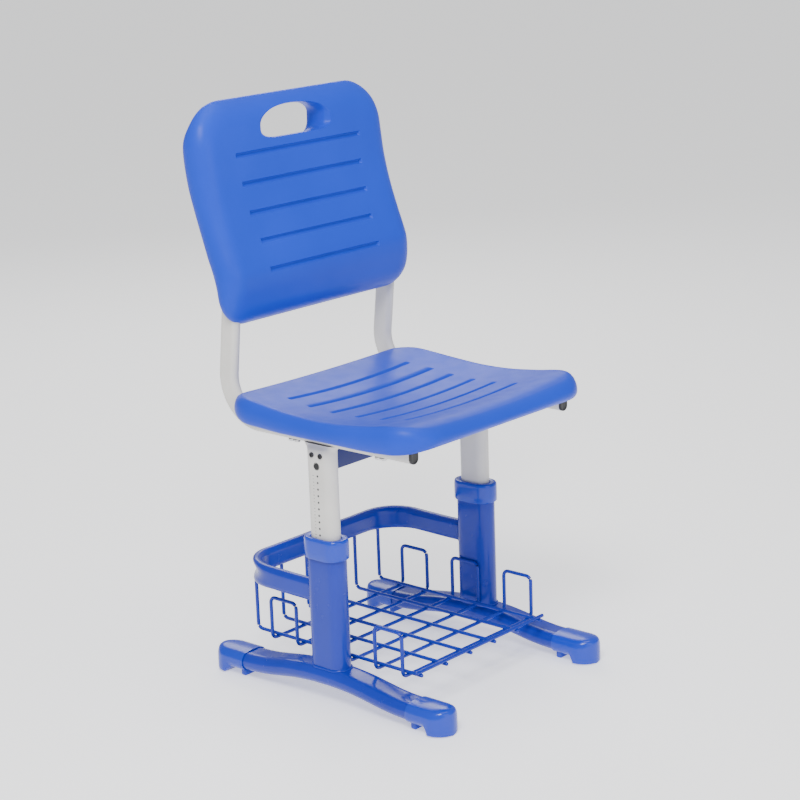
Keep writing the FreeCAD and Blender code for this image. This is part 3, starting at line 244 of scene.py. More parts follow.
def turned(name, profile, centre, axis, sides=32, sharp_angle=40):
    """A solid of revolution: profile is (radius, distance along the axis) from one end to the other."""
    axis = Vector(axis).normalized()
    guess = Vector((0, 0, 1)) if abs(axis.z) < 0.9 else Vector((1, 0, 0))
    first = guess.cross(axis).normalized()
    second = axis.cross(first)
    verts = []
    faces = []
    for radius, distance in profile:
        for i in range(sides):
            angle = 2 * math.pi * i / sides
            verts.append(Vector(centre) + axis * distance
                         + (first * math.cos(angle) + second * math.sin(angle)) * max(radius, 0.01))
    for row in range(len(profile) - 1):
        for i in range(sides):
            j = (i + 1) % sides
            faces.append((row * sides + i, row * sides + j, (row + 1) * sides + j, (row + 1) * sides + i))
    faces.append(tuple(range(sides))[::-1])
    top = (len(profile) - 1) * sides
    faces.append(tuple(range(top, top + sides)))
    return mesh_object(name, verts, faces, sharp_angle=sharp_angle)


def merged(name, items):
    """Several objects as one piece."""
    bm = bmesh.new()
    for item in items:
        bm.from_mesh(item.data)
        bpy.data.objects.remove(item, do_unlink=True)
    data = bpy.data.meshes.new(name)
    bm.to_mesh(data)
    bm.free()
    whole = bpy.data.objects.new(name, data)
    bpy.context.scene.collection.objects.link(whole)
    return whole


def spline(stations, x, column):
    """A smooth curve through a table's rows, read at x; the first column rises."""
    rows = sorted(stations)
    xs = [row[0] for row in rows]
    ys = [row[column] for row in rows]
    if x <= xs[0]:
        return ys[0]
    if x >= xs[-1]:
        return ys[-1]
    i = max(k for k in range(len(xs) - 1) if xs[k] <= x)

    def slope(k):
        if k == 0:
            return (ys[1] - ys[0]) / (xs[1] - xs[0])
        if k == len(xs) - 1:
            return (ys[-1] - ys[-2]) / (xs[-1] - xs[-2])
        return (ys[k + 1] - ys[k - 1]) / (xs[k + 1] - xs[k - 1])

    h = xs[i + 1] - xs[i]
    t = (x - xs[i]) / h
    return ((2 * t ** 3 - 3 * t ** 2 + 1) * ys[i] + (t ** 3 - 2 * t ** 2 + t) * h * slope(i)
            + (-2 * t ** 3 + 3 * t ** 2) * ys[i + 1] + (t ** 3 - t ** 2) * h * slope(i + 1))


def smoothstep(t):
    t = min(max(t, 0.0), 1.0)
    return t * t * (3 - 2 * t)


# ------------------------------------------------------------------ materials


def shader(name, color, roughness, metallic=0.0, coat=0.0, coat_roughness=0.1, specular=0.5):
    material = bpy.data.materials.new(name)
    material.use_nodes = True
    tree = material.node_tree
    bsdf = tree.nodes["Principled BSDF"]
    bsdf.inputs["Base Color"].default_value = (*color, 1)
    bsdf.inputs["Roughness"].default_value = roughness
    bsdf.inputs["Metallic"].default_value = metallic
    bsdf.inputs["Specular IOR Level"].default_value = specular
    if coat:
        bsdf.inputs["Coat Weight"].default_value = coat
        bsdf.inputs["Coat Roughness"].default_value = coat_roughness
    return material, tree, bsdf


def coordinates(tree, scale=(1, 1, 1)):
    source = tree.nodes.new("ShaderNodeTexCoord")
    mapping = tree.nodes.new("ShaderNodeMapping")
    mapping.inputs["Scale"].default_value = scale
    tree.links.new(source.outputs["Object"], mapping.inputs["Vector"])
    return mapping.outputs["Vector"]


def noise_node(tree, vector, scale, detail=3.0, roughness=0.5):
    node = tree.nodes.new("ShaderNodeTexNoise")
    node.inputs["Scale"].default_value = scale
    node.inputs["Detail"].default_value = detail
    node.inputs["Roughness"].default_value = roughness
    tree.links.new(vector, node.inputs["Vector"])
    return node.outputs["Fac"]


def ramp(tree, factor, low, high, from_low=0.3, from_high=0.7):
    node = tree.nodes.new("ShaderNodeMapRange")
    node.inputs["From Min"].default_value = from_low
    node.inputs["From Max"].default_value = from_high
    node.inputs["To Min"].default_value = low
    node.inputs["To Max"].default_value = high
    tree.links.new(factor, node.inputs["Value"])
    return node.outputs["Result"]


def vary_color(tree, bsdf, factor, dark, light):
    node = tree.nodes.new("ShaderNodeValToRGB")
    node.color_ramp.elements[0].position = 0.3
    node.color_ramp.elements[1].position = 0.7
    node.color_ramp.elements[0].color = (*dark, 1)
    node.color_ramp.elements[1].color = (*light, 1)
    tree.links.new(factor, node.inputs["Fac"])
    tree.links.new(node.outputs["Color"], bsdf.inputs["Base Color"])


def bump(tree, bsdf, height, strength, distance, earlier=None):
    node = tree.nodes.new("ShaderNodeBump")
    node.inputs["Strength"].default_value = strength
    node.inputs["Distance"].default_value = distance
    tree.links.new(height, node.inputs["Height"])
    if earlier is not None:
        tree.links.new(earlier, node.inputs["Normal"])
    tree.links.new(node.outputs["Normal"], bsdf.inputs["Normal"])
    return node.outputs["Normal"]


def tinted(color, gain):
    return tuple(min(1.0, channel * gain) for channel in color)


def powder_coat(name, color, roughness, orange_peel, coat):
    """Baked paint on steel: a slight orange peel, fine grain and uneven gloss."""
    material, tree, bsdf = shader(name, color, roughness, coat=coat, coat_roughness=0.12, specular=0.3)
    vector = coordinates(tree)
    cloud = noise_node(tree, vector, 14, 3)
    vary_color(tree, bsdf, cloud, tinted(color, 0.93), tinted(color, 1.07))
    tree.links.new(ramp(tree, noise_node(tree, vector, 60, 4), roughness * 0.85, roughness * 1.2),
                   bsdf.inputs["Roughness"])
    bump(tree, bsdf, noise_node(tree, vector, 300, 1), orange_peel, 0.0005)
    return material


def moulded(name, color, roughness, grain, coat=0.0, scale=1500, specular=0.5):
    """Moulded plastic: a spark-eroded grain, faint flow clouds and uneven gloss."""
    material, tree, bsdf = shader(name, color, roughness, coat=coat, coat_roughness=0.3, specular=specular)
    vector = coordinates(tree)
    cloud = noise_node(tree, vector, 7, 3)
    vary_color(tree, bsdf, cloud, tinted(color, 0.94), tinted(color, 1.06))
    tree.links.new(ramp(tree, noise_node(tree, vector, 45, 4), roughness * 0.9, roughness * 1.12),
                   bsdf.inputs["Roughness"])
    waves = bump(tree, bsdf, noise_node(tree, vector, 30, 1), grain * 0.25, 0.0012)
    bump(tree, bsdf, noise_node(tree, vector, scale, 2, 0.6), grain, 0.00018, waves)
    return material


def machined(name, color, roughness, stretch=(1, 1, 30)):
    """Bare or plated metal with fine tool marks."""
    material, tree, bsdf = shader(name, color, roughness, metallic=1.0)
    vector = coordinates(tree, stretch)
    marks = noise_node(tree, vector, 220, 3)
    vary_color(tree, bsdf, marks, tinted(color, 0.86), tinted(color, 1.08))
    tree.links.new(ramp(tree, marks, roughness * 0.8, roughness * 1.3), bsdf.inputs["Roughness"])
    bump(tree, bsdf, marks, 0.25, 0.0001)
    return material


BLUE_PAINT = (0.008, 0.026, 0.360)
BLUE_SHELL = (0.012, 0.050, 0.540)
BLUE_CAP = (0.008, 0.040, 0.480)
DARK_BLUE = (0.003, 0.010, 0.120)
GREY_PAINT = (0.660, 0.645, 0.610)

blue_steel = powder_coat("blue_powder_coat", BLUE_PAINT, 0.23, 0.02, 0.05)
dark_blue_steel = powder_coat("dark_blue_powder_coat", DARK_BLUE, 0.32, 0.04, 0.05)
grey_steel = powder_coat("grey_powder_coat", GREY_PAINT, 0.40, 0.05, 0.08)
shell_plastic = moulded("blue_shell_plastic", BLUE_SHELL, 0.38, 0.20, specular=0.14)
cap_plastic = moulded("blue_cap_plastic", BLUE_CAP, 0.20, 0.08, specular=0.42)
black_plastic = moulded("black_plug_plastic", (0.010, 0.010, 0.012), 0.38, 0.2)
grey_plastic = moulded("grey_block_plastic", (0.09, 0.09, 0.10), 0.5, 0.3)
nylon = moulded("nylon", (0.62, 0.61, 0.56), 0.45, 0.2)
zinc = machined("zinc_plate", (0.60, 0.61, 0.63), 0.34, (1, 1, 1))
screw_metal = machined("screw_plate", (0.62, 0.62, 0.63), 0.24, (1, 1, 1))
bright_steel = machined("machined_steel", (0.56, 0.57, 0.58), 0.28)
brass_metal = machined("machined_brass", (0.74, 0.55, 0.24), 0.28)
ink = moulded("scale_ink", (0.03, 0.03, 0.035), 0.5, 0.05)
# Near-black material for painted shade: a disc that stands in for the dark depth of the crank port.
hole_painted_shade = moulded("port_lining", (0.006, 0.006, 0.007), 0.6, 0.1)

MATERIALS = {"blue_steel": blue_steel, "dark_blue_steel": dark_blue_steel, "grey_steel": grey_steel,
             "blue_shell": shell_plastic, "blue_moulding": cap_plastic, "black_plastic": black_plastic,
             "grey_plastic": grey_plastic, "nylon": nylon, "zinc_steel": zinc, "screw_steel": screw_metal,
             "bright_steel": bright_steel, "brass": brass_metal}

black_oxide = machined("black_oxide", (0.05, 0.05, 0.055), 0.42, (1, 1, 1))

for part in frame["record"]["subparts"]:
    node = nodes[part["node"]]
    node.data.materials.clear()
    node.data.materials.append(MATERIALS[part["material_slot"]])
nodes["gear_block_screws"].data.materials[0] = black_oxide

# ------------------------------------------------------------------ feet

FOOT_END = 22.0
FOOT_RISE = 13.8
FOOT_ARCH = 124.0
FOOT_HALF = 196.0
X_AXIS = Vector((1, 0, 0))
Z_AXIS = Vector((0, 0, 1))


def foot_path(x):
    slope = math.atan2(FOOT_RISE, FOOT_ARCH * 2 / 3)
    setbacks = (29.0, 0.9 * FOOT_ARCH / 3)
    radii = [setbacks[0] / math.tan(slope / 2), setbacks[1] / math.tan(slope / 2),
             setbacks[1] / math.tan(slope / 2), setbacks[0] / math.tan(slope / 2)]
    crown = FOOT_END + FOOT_RISE
    points = [(x, -FOOT_HALF, FOOT_END), (x, -FOOT_ARCH, FOOT_END), (x, -FOOT_ARCH / 3, crown),
              (x, FOOT_ARCH / 3, crown), (x, FOOT_ARCH, FOOT_END), (x, FOOT_HALF, FOOT_END)]
    return arc_points(points, radii, step=5, straight=12)


def foot_section():
    """The foot tube's flat oval, wide side level."""
    return [(v, u) for u, v in oval(46, 25, 14, 5)]


def foot_height(y):
    """Height of the foot tube's centre line at y."""
    path = foot_path(0)
    for (a, _), (b, _) in zip(path, path[1:]):
        if a.y <= y <= b.y:
            share = (y - a.y) / max(b.y - a.y, 1e-6)
            return a.z + (b.z - a.z) * share
    return FOOT_END


def weld_bead(name, points, radius, seed):
    """An uneven bead of weld along a closed line of points."""
    rnd = random.Random(seed)
    count = len(points)
    path = []
    for i in range(count):
        along = (points[(i + 1) % count] - points[i - 1]).normalized()
        path.append((points[i], along))
    wobble = [radius * (1 + 0.14 * math.sin(i * 1.9) + rnd.uniform(-0.08, 0.08)) for i in range(count)]

    def section(index):
        size = wobble[index]
        return [(size * math.cos(2 * math.pi * k / 10), size * math.sin(2 * math.pi * k / 10)) for k in range(10)]

    return sweep(name, path, section, closed=True, sharp_angle=None)


def make_feet():
    for name, sign in SIDES:
        x = LEG * sign
        bar = sweep(f"foot_tube_{name}", foot_path(x), foot_section(), side=X_AXIS)
        finish_piece(bar, "base", blue_steel, "blue_steel", f"foot_bar_{name}")
        ring = oval(60.6, 32.6, 14, 8)
        points = []
        for u, v in ring:
            reach = max(0.0, abs(u) - 10.5)
            drop = 12.5 - math.sqrt(max(0.0, 12.5 ** 2 - reach ** 2))
            points.append(Vector((x + u, v, foot_height(v) + 12.5 - drop + 0.4)))
        bead = weld_bead(f"column_weld_{name}", points, 1.9, 3 + sign)
        finish_piece(bead, "base", blue_steel, "blue_steel")


def cap_point_rows():
    """Places along a foot cap from its rim to its nose tip, each with the cap's half width there."""
    half = 25.0
    length = 62.0
    nose = length - half
    rows = []
    stations = [0.0, 1.2, 6, 12, 18, 24, 30, nose]
    for i in range(1, 15):
        stations.append(nose + half * math.sin(math.pi / 2 * i / 14))
    for y in stations:
        if y <= nose:
            width = half
        else:
            width = math.sqrt(max(half ** 2 - (y - nose) ** 2, 0.0))
        rows.append((y, width))
    return rows


def make_caps():
    """Rounded end caps: an oval skirt that swells into a round toe standing on the floor."""
    centre = FOOT_END
    radius = 14.5
    half = 25.0
    rim_tuck = 0.018  # how much narrower the rim is than the cap behind it, as a share
    for name, sign in SIDES:
        for end, direction in (("front", -1), ("rear", 1)):
            verts = []
            faces = []
            count = 40
            rows = cap_point_rows()
            for index, (y, width) in enumerate(rows):
                toe = smoothstep((y - 30.5) / 4.0)
                nose_share = width / half
                tuck = rim_tuck if index == 0 else 0.0
                for k in range(count):
                    angle = 2 * math.pi * k / count
                    c, sn = math.cos(angle), math.sin(angle)
                    if sn >= 0:
                        u = (half - radius) * math.copysign(min(1.0, abs(c) * 1.8), c) + radius * c * 0.98
                        z = centre + radius * sn * (1 - (1 - nose_share) ** 2.2 * 0.55)
                    else:
                        u = (half - radius) * math.copysign(min(1.0, abs(c) * 1.8), c) + radius * c
                        oval_z = centre + radius * sn
                        drop = (-sn) ** 0.45
                        toe_z = centre - (centre - 0.3) * drop
                        z = oval_z * (1 - toe) + toe_z * toe
                        u_toe = math.copysign(min(1.0, abs(c) * 2.1), c) * half * (1 - 0.10 * (-sn) ** 6)
                        u = u * (1 - toe) + u_toe * toe
                    u = max(-half, min(half, u)) * max(nose_share, 0.02)
                    verts.append((u * (1 - tuck), y, z))
            for row in range(len(rows) - 1):
                for k in range(count):
                    j = (k + 1) % count
                    faces.append((row * count + k, row * count + j, (row + 1) * count + j, (row + 1) * count + k))
            last = (len(rows) - 1) * count
            faces.append(tuple(range(last, last + count)))
            rim = len(verts)
            for k in range(count):
                x0, _, z0 = verts[k]
                verts.append((x0 * 0.90, 1.5, centre + (z0 - centre) * 0.84))
            for k in range(count):
                j = (k + 1) % count
                faces.append((j, k, rim + k, rim + j))
            faces.append(tuple(range(rim, rim + count))[::-1])
            shell = mesh_object("cap_shell", verts, faces, sharp_angle=48)
            heel = heel_pad()
            cap = merged(f"foot_end_{end}_{name}", [shell, heel])
            turn = Matrix.Rotation(0 if direction > 0 else math.pi, 4, "Z")
            place = Matrix.Translation((LEG * sign * MM, 150.0 * direction * MM, 0)) @ turn
            cap.data.transform(place)
            finish_piece(cap, "base", cap_plastic, "blue_moulding", f"foot_cap_{end}_{name}")


def heel_pad():
    """The smaller rounded pad behind the toe."""
    half_x, y0, y1, top, rim = 16.0, 2.0, 11.5, 12.0, 2.4
    bm = bmesh.new()
    bmesh.ops.create_cube(bm, size=1.0)
    for vert in bm.verts:
        vert.co = Vector((vert.co.x * 2 * half_x, (y0 + y1) / 2 + vert.co.y * (y1 - y0),
                          top / 2 + vert.co.z * top)) * MM
    bmesh.ops.bevel(bm, geom=list(bm.edges), offset=rim * MM, segments=4, profile=0.5, affect="EDGES")
    data = bpy.data.meshes.new("heel")
    bm.to_mesh(data)
    bm.free()
    for poly in data.polygons:
        poly.use_smooth = True
    item = bpy.data.objects.new("heel", data)
    bpy.context.scene.collection.objects.link(item)
    return item


# ------------------------------------------------------------------ columns and collars


def stack(name, rings, sharp_angle=35):
    """A wall of flat ovals one above another: each ring is (length, width, z, lift function)."""
    verts = []
    faces = []
    count = None
    for length, width, z, shape in rings:
        ring = oval(length, width, 16, 6)
        count = len(ring)
        for u, v in ring:
            verts.append((u, v, z + (shape(u, v) if shape else 0.0)))
    for row in range(len(rings) - 1):
        for k in range(count):
            j = (k + 1) % count
            faces.append((row * count + k, row * count + j, (row + 1) * count + j, (row + 1) * count + k))
    return mesh_object(name, verts, faces, sharp_angle=sharp_angle)


def make_columns():
    for name, sign in SIDES:
        x = LEG * sign
        walls = [(60, 32, z, None) for z in (30, 80, 130, 180, 225)] + [(59, 31, 225.8, None)]
        walls += [(57, 29, z, None) for z in (225.8, 180, 130, 80, 30)]
        tube = stack(f"column_tube_{name}", walls + walls[:1])
        tube.data.transform(Matrix.Translation((x * MM, 0, 0)))
        finish_piece(tube, "base", blue_steel, "blue_steel", f"outer_column_{name}")

        def dip(u, v):
            """The skirt's lower rim dips a little at the middle of the long sides."""
            return -1.6 * math.cos(min(1.0, abs(v) / 34) * math.pi / 2) if abs(u) > 10 else 0.0

        rings = [(60.2, 32.2, 203.8, dip), (66.0, 38.0, 203.0, dip), (67.4, 39.4, 204.2, dip), (67.6, 39.6, 212, None),
                 (67.6, 39.6, 221, None), (67.4, 39.4, 226.5, None), (66.4, 38.4, 228.8, None),
                 (64.4, 36.4, 230.2, None), (61.5, 33.5, 230.5, None), (48.4, 28.4, 230.4, None),
                 (46.6, 26.6, 229.9, None), (45.9, 25.9, 229.0, None), (45.7, 25.7, 200, None),
                 (45.7, 25.7, 190.2, None), (57.0, 29.0, 190.0, None), (57.0, 29.0, 203.9, None)]
        collar = stack(f"collar_{name}", rings + rings[:1], sharp_angle=55)
        collar.data.transform(Matrix.Translation((x * MM, 0, 0)))
        finish_piece(collar, "base", cap_plastic, "blue_moulding", f"column_collar_{name}")


def make_inner_columns():
    """Grey lift columns, flared with small fillets where they are welded to the rails."""
    for name, sign in SIDES:
        x = LEG * sign
        verts = []
        faces = []
        levels = [(112, 0, 0), (150, 0, 0), (200, 0, 0), (250, 0, 0), (300, 0, 0), (340, 0, 0), (350, 0.4, 0),
                  (354, 1.6, 0), (357, 4.0, 0), (359, 7.5, 0), (348, 0, 1.5), (300, 0, 1.5), (200, 0, 1.5),
                  (112, 0, 1.5), (112, 0, 0)]
        count = None
        for z, flare, wall in levels:
            ring = oval(45 - 2 * wall, 25 - 2 * wall, 18, 6)
            count = len(ring)
            for u, v in ring:
                grow = 1 + flare / 22.5 * (abs(v) / 22.5)
                squeeze = 1 - 0.30 * smoothstep((z - 350) / 9) * min(1.0, abs(u) / 12.5)
                verts.append((x + u * squeeze, v * grow, z))
        for row in range(len(levels) - 1):
            for k in range(count):
                j = (k + 1) % count
                faces.append((row * count + k, row * count + j, (row + 1) * count + j, (row + 1) * count + k))
        tube = mesh_object(f"lift_column_{name}", verts, faces, sharp_angle=60)
        finish_piece(tube, "lift", grey_steel, "grey_steel", f"inner_column_{name}")


def make_scale():
    """Printed height marks on the right column's outer face: a row of dots and finer ticks."""
    x = -LEG - 12.5
    dots = []
    for index in range(10):
        z = 316.7 - 9.05 * index
        dots.append(turned(f"dot{index}", [(0.01, 0.0), (1.5, 0.0), (1.5, 0.12), (0.01, 0.12)], (x, -1.0, z),
                           (-1, 0, 0), 16))
        for step in (0, 0.5):
            low = z - step * 9.05
            size = 2.4 if step == 0 else 1.5
            bm = bmesh.new()
            bmesh.ops.create_cube(bm, size=1.0)
            for vert in bm.verts:
                vert.co = Vector((x - 0.06 + vert.co.x * 0.12, 6.6 + vert.co.y * size, low + vert.co.z * 0.5)) * MM
            data = bpy.data.meshes.new("tick")
            bm.to_mesh(data)
            bm.free()
            tick = bpy.data.objects.new("tick", data)
            bpy.context.scene.collection.objects.link(tick)
            dots.append(tick)
    marks = merged("height_scale", dots)
    finish_piece(marks, "lift", ink, "black_plastic")
    lining = turned("crank_port_lining", [(4.9, -1.2), (5.4, 0.05), (4.9, 0.10), (4.4, -0.6), (4.2, -1.3)],
                    (x, 0, 330), (-1, 0, 0), 32)
    finish_piece(lining, "lift", black_plastic, "black_plastic")
    # A flat near-black disc just inside the crank port is painted shade for the hole's dark depth.
    dark = turned("crank_port_painted_shade", [(4.6, -0.4), (4.6, 0.06), (0.3, 0.06)], (x, 0, 330), (-1, 0, 0), 32)
    finish_piece(dark, "lift", hole_painted_shade, "black_plastic")


# ------------------------------------------------------------------ side frames, beam, plugs

RAIL_Z = 372.0


def side_path(x):
    points = [(x, -158, RAIL_Z), (x, 175, RAIL_Z), (x, 153, 557), (x, 194, 692)]
    return arc_points(points, [54, 160], step=4, straight=30)


def make_side_frames():
    for name, sign in SIDES:
        x = LEG * sign
        section = oval(30, 15, 16, 4)
        tube = sweep(f"side_tube_{name}", side_path(x), section, side=X_AXIS, wall=1.5)
        finish_piece(tube, "lift", grey_steel, "grey_steel", f"side_frame_{name}")
        verts = []
        faces = []
        rows = [(-150, 0.80), (-157.9, 0.80), (-158.0, 1.0), (-160.6, 1.0), (-161.6, 0.955), (-162.0, 0.86),
                (-161.5, 0.74), (-161.3, 0.30)]
        count = None
        for y, size in rows:
            ring = oval(30, 15, 16, 4)
            count = len(ring)
            inset = (1 - size) * 7.5
            for u, v in ring:
                verts.append((x + u * (7.5 - inset) / 7.5, y, RAIL_Z + v * (15 - inset) / 15))
        for row in range(len(rows) - 1):
            for k in range(count):
                j = (k + 1) % count
                faces.append((row * count + k, row * count + j, (row + 1) * count + j, (row + 1) * count + k))
        faces.append(tuple(range(count))[::-1])
        last = (len(rows) - 1) * count
        faces.append(tuple(range(last, last + count)))
        plug = mesh_object(f"rail_end_{name}", verts, faces, sharp_angle=50)
        finish_piece(plug, "lift", black_plastic, "black_plastic", f"rail_plug_{name}")


def rounded_box(name, low, high, radius, segments=4):
    bm = bmesh.new()
    bmesh.ops.create_cube(bm, size=1.0)
    low, high = Vector(low), Vector(high)
    middle = (low + high) / 2
    size = high - low
    for vert in bm.verts:
        vert.co = Vector((middle.x + vert.co.x * size.x, middle.y + vert.co.y * size.y,
                          middle.z + vert.co.z * size.z)) * MM
    long_edges = [edge for edge in bm.edges
                  if abs(edge.verts[0].co.x - edge.verts[1].co.x) > size.x * MM * 0.9]
    bmesh.ops.bevel(bm, geom=long_edges, offset=radius * MM, segments=segments, profile=0.5, affect="EDGES")
    data = bpy.data.meshes.new(name)
    bm.to_mesh(data)
    bm.free()
    for poly in data.polygons:
        poly.use_smooth = True
    mark_sharp(data, 60)
    item = bpy.data.objects.new(name, data)
    bpy.context.scene.collection.objects.link(item)
    return item


def make_beam():
    beam = rounded_box("cross_tube", (-143.5, -13, 322), (143.5, 13, 352), 3.0)
    finish_piece(beam, "lift", dark_blue_steel, "dark_blue_steel", "cross_beam")


# ------------------------------------------------------------------ band and basket

BAND_Z = 150.5
BAND_REACH = 167.0


def make_band():
    """The rear band: a flat oval tube whose outer wall is pressed in at its two bends."""
    points = [(-LEG, 26, BAND_Z), (-LEG, BAND_REACH, BAND_Z), (LEG, BAND_REACH, BAND_Z), (LEG, 26, BAND_Z)]
    path = arc_points(points, [54, 54], step=3.5, straight=10)
    corners = (Vector((-LEG + 54, BAND_REACH - 54, 0)), Vector((LEG - 54, BAND_REACH - 54, 0)))

    def bend_share(point):
        """One in the middle of a bend, fading to nothing on the straight runs."""
        best = 0.0
        for corner, sign in zip(corners, (-1, 1)):
            dx = (point.x - corner.x) * sign
            dy = point.y - corner.y
            if dx > -26 and dy > -26:
                angle = math.degrees(math.atan2(dy, dx)) if dx > 0 or dy > 0 else 45
                best = max(best, smoothstep(1 - abs(angle - 45) / 62))
        return best

    lifted = []
    for point, along in path:
        rise = 1.6 * smoothstep((point.y - 40) / 110) - 0.8
        lifted.append((Vector((point.x, point.y, point.z + rise)), along))

    def section(index):
        share = bend_share(path[index][0])
        ring = []
        for u, v in oval(32, 17, 16, 10):
            depth = 1 - (v / 16) ** 2
            # The ring's second coordinate is vertical; the first points outwards.
            if u > 0:
                u -= share * 7.5 * max(0.0, depth) ** 1.6 * min(1.0, u / 6)
            v *= 1 + 0.06 * share
            ring.append((u, v))
        return ring

    verts_side = []
    for point, along in lifted:
        verts_side.append(Vector((-along.y, along.x, 0)))
    band = sweep_with_sides("rear_band_tube", lifted, section, verts_side)
    finish_piece(band, "base", blue_steel, "blue_steel", "rear_band")
    for name, sign in SIDES:
        ring = []
        for u, v in oval(32.6, 17.6, 12, 5):
            back = 14 + math.sqrt(max(16 ** 2 - u ** 2, 1.0))
            ring.append(Vector((LEG * sign + u, back + 0.3, BAND_Z - 0.8 + v)))
        bead = weld_bead(f"band_weld_{name}", ring, 1.4, 11 + sign)
        finish_piece(bead, "base", blue_steel, "blue_steel")


def sweep_with_sides(name, path, section, outward):
    """Sweep whose ring's first coordinate follows a direction given at each station."""
    verts = []
    faces = []
    count = len(section(0))
    for index, (centre, _) in enumerate(path):
        for u, v in section(index):
            point = centre + outward[index] * u + Z_AXIS * v
            if index in (0, len(path) - 1):
                point.y = 14 + math.sqrt(15.3 ** 2 - u ** 2)
            verts.append(point)
    for row in range(len(path) - 1):
        for k in range(count):
            j = (k + 1) % count
            faces.append((row * count + k, row * count + j, (row + 1) * count + j, (row + 1) * count + k))
    faces.append(tuple(range(count))[::-1])
    last = (len(path) - 1) * count
    faces.append(tuple(range(last, last + count)))
    return mesh_object(name, verts, faces, sharp_angle=60)


WIRE = 2.3
COATED_WIRE = 2.6
HOOP_Z = 51.0


def make_basket():
    runner_z = HOOP_Z + 2 * WIRE
    top = BAND_Z - 15.0
    runner_x = [51.0 * (i - 2.5) for i in range(6)]
    for index, x in enumerate(runner_x):
        points = [(x, -138, runner_z), (x, BAND_REACH, runner_z), (x, BAND_REACH, top + 1)]
        rod = wire_rod(f"wire_long_{index + 1}", arc_points(points, [8], step=1.6, straight=30), COATED_WIRE)
        finish_piece(rod, "base", blue_steel, "blue_steel", f"basket_wire_{index + 1}")
    reach = LEG - 16 - WIRE
    hoops = []
    for index, name in enumerate(("rear", "middle", "front")):
        rear = 129.5 - 96.4 * index
        front = rear - 48.2
        corners = [(0, rear, HOOP_Z), (reach, rear, HOOP_Z), (reach, rear, 112), (reach, front, 112),
                   (reach, front, HOOP_Z), (-reach, front, HOOP_Z), (-reach, front, 112), (-reach, rear, 112),
                   (-reach, rear, HOOP_Z), (0, rear, HOOP_Z)]
        path = arc_points(corners, [8] * 8, step=1.6, straight=30)
        hoop = wire_rod(f"wire_hoop_{name}", path[:-1], COATED_WIRE, closed=True)
        hoops.append((rear, front))
        finish_piece(hoop, "base", blue_steel, "blue_steel", f"basket_hoop_{name}")
    span = 127.5 + 2 * 2 * WIRE
    front_path = arc_points([(-span, -133.4, runner_z + 2 * WIRE), (span, -133.4, runner_z + 2 * WIRE)], [],
                            straight=40)
    rod = wire_rod("wire_front", front_path, COATED_WIRE)
    finish_piece(rod, "base", blue_steel, "blue_steel", "basket_front_wire")
    blobs = []
    rnd = random.Random(7)
    crossings = [(x, y, HOOP_Z + WIRE) for x in runner_x for pair in hoops for y in pair]
    crossings += [(x, -133.4, runner_z + WIRE) for x in runner_x]
    for spot in crossings:
        bm = bmesh.new()
        bmesh.ops.create_icosphere(bm, subdivisions=2, radius=1.0)
        size = rnd.uniform(1.75, 2.1)
        for vert in bm.verts:
            bumpy = 1 + 0.12 * noise.noise(vert.co * 2.2 + Vector(spot))
            vert.co = (Vector(spot) + Vector((vert.co.x * size, vert.co.y * size, vert.co.z * 1.25)) * bumpy) * MM
        data = bpy.data.meshes.new("blob")
        bm.to_mesh(data)
        bm.free()
        for poly in data.polygons:
            poly.use_smooth = True
        item = bpy.data.objects.new("blob", data)
        bpy.context.scene.collection.objects.link(item)
        blobs.append(item)
    welds = merged("basket_welds", blobs)
    finish_piece(welds, "base", blue_steel, "blue_steel")
    beads = []
    for sign in (-1, 1):
        beside = sign * (reach + WIRE * 0.7)
        run = arc_points([(beside, hoops[1][1], 62), (beside, hoops[1][1], 100)], [], straight=3)
        beads.append(wire_rod("bead", run, 1.5))
    seam = merged("hoop_welds", beads)
    finish_piece(seam, "base", blue_steel, "blue_steel")


# ------------------------------------------------------------------ seat and back

SEAT_WIDE = 189.0
SEAT_ROWS = (
    (160, 27, 17, 0.0), (155, 32, 12, 0.15), (143, 35, 6, 0.45), (120, 35.5, 2, 0.8), (90, 33, 1, 1.0),
    (50, 29, 0, 1.0), (0, 26, 0, 1.0), (-50, 27, 0, 1.0), (-100, 32, 0, 1.0), (-135, 37, 1, 0.9),
    (-160, 38, 3, 0.75), (-178, 34, 7, 0.62), (-188, 30, 11, 0.55),
)
SEAT_SIDE = (
    (160, 1.0), (120, 0.985), (90, 0.99), (50, 1.0), (0, 1.0), (-50, 1.0), (-100, 1.0), (-135, 0.995), (-188, 0.98),
)
SEAT_GROOVES = (90, 49, 10, -32, -72, -112)
GROOVE_HALF = (123, 127, 125, 122, 119, 116)


def groove_depth(distance, across, half, deep=3.6, radius=3.7):
    """How deep a groove is at a distance from its middle line and a place along it."""
    t = abs(distance) / radius
    end = smoothstep((half - abs(across)) / 3.5)
    return deep * (1 - t * t) ** 0.5 * end if t < 1 else 0.0


def rounded_box_distance(x, y, half_x, half_y, radius):
    """Distance inside a rounded rectangle's outline; positive inside."""
    qx = abs(x) - (half_x - radius)
    qy = abs(y) - (half_y - radius)
    outside = math.hypot(max(qx, 0.0), max(qy, 0.0))
    return radius - outside - min(max(qx, qy), 0.0)


def half_width(y, half_x, half_y, radius):
    """The rounded rectangle's half width at y."""
    over = abs(y) - (half_y - radius)
    if over <= 0:
        return half_x
    return half_x - radius + math.sqrt(max(radius ** 2 - over ** 2, 0.0))


def clustered(low, high, base, spots, near, steps):
    """Rising values from low to high: a base spacing, with fine steps round each spot and end."""
    values = {low, high}
    count = int((high - low) / base)
    for i in range(count + 1):
        values.add(low + (high - low) * i / count)
    for spot in spots:
        for step in steps:
            for sign in (-1, 1):
                value = spot + sign * step
                if low < value < high:
                    values.add(value)
    for step in near:
        values.add(low + step)
        values.add(high - step)
    ordered = sorted(values)
    kept = [ordered[0]]
    for value in ordered[1:]:
        if value - kept[-1] > 0.18:
            kept.append(value)
    kept[-1] = high
    return kept


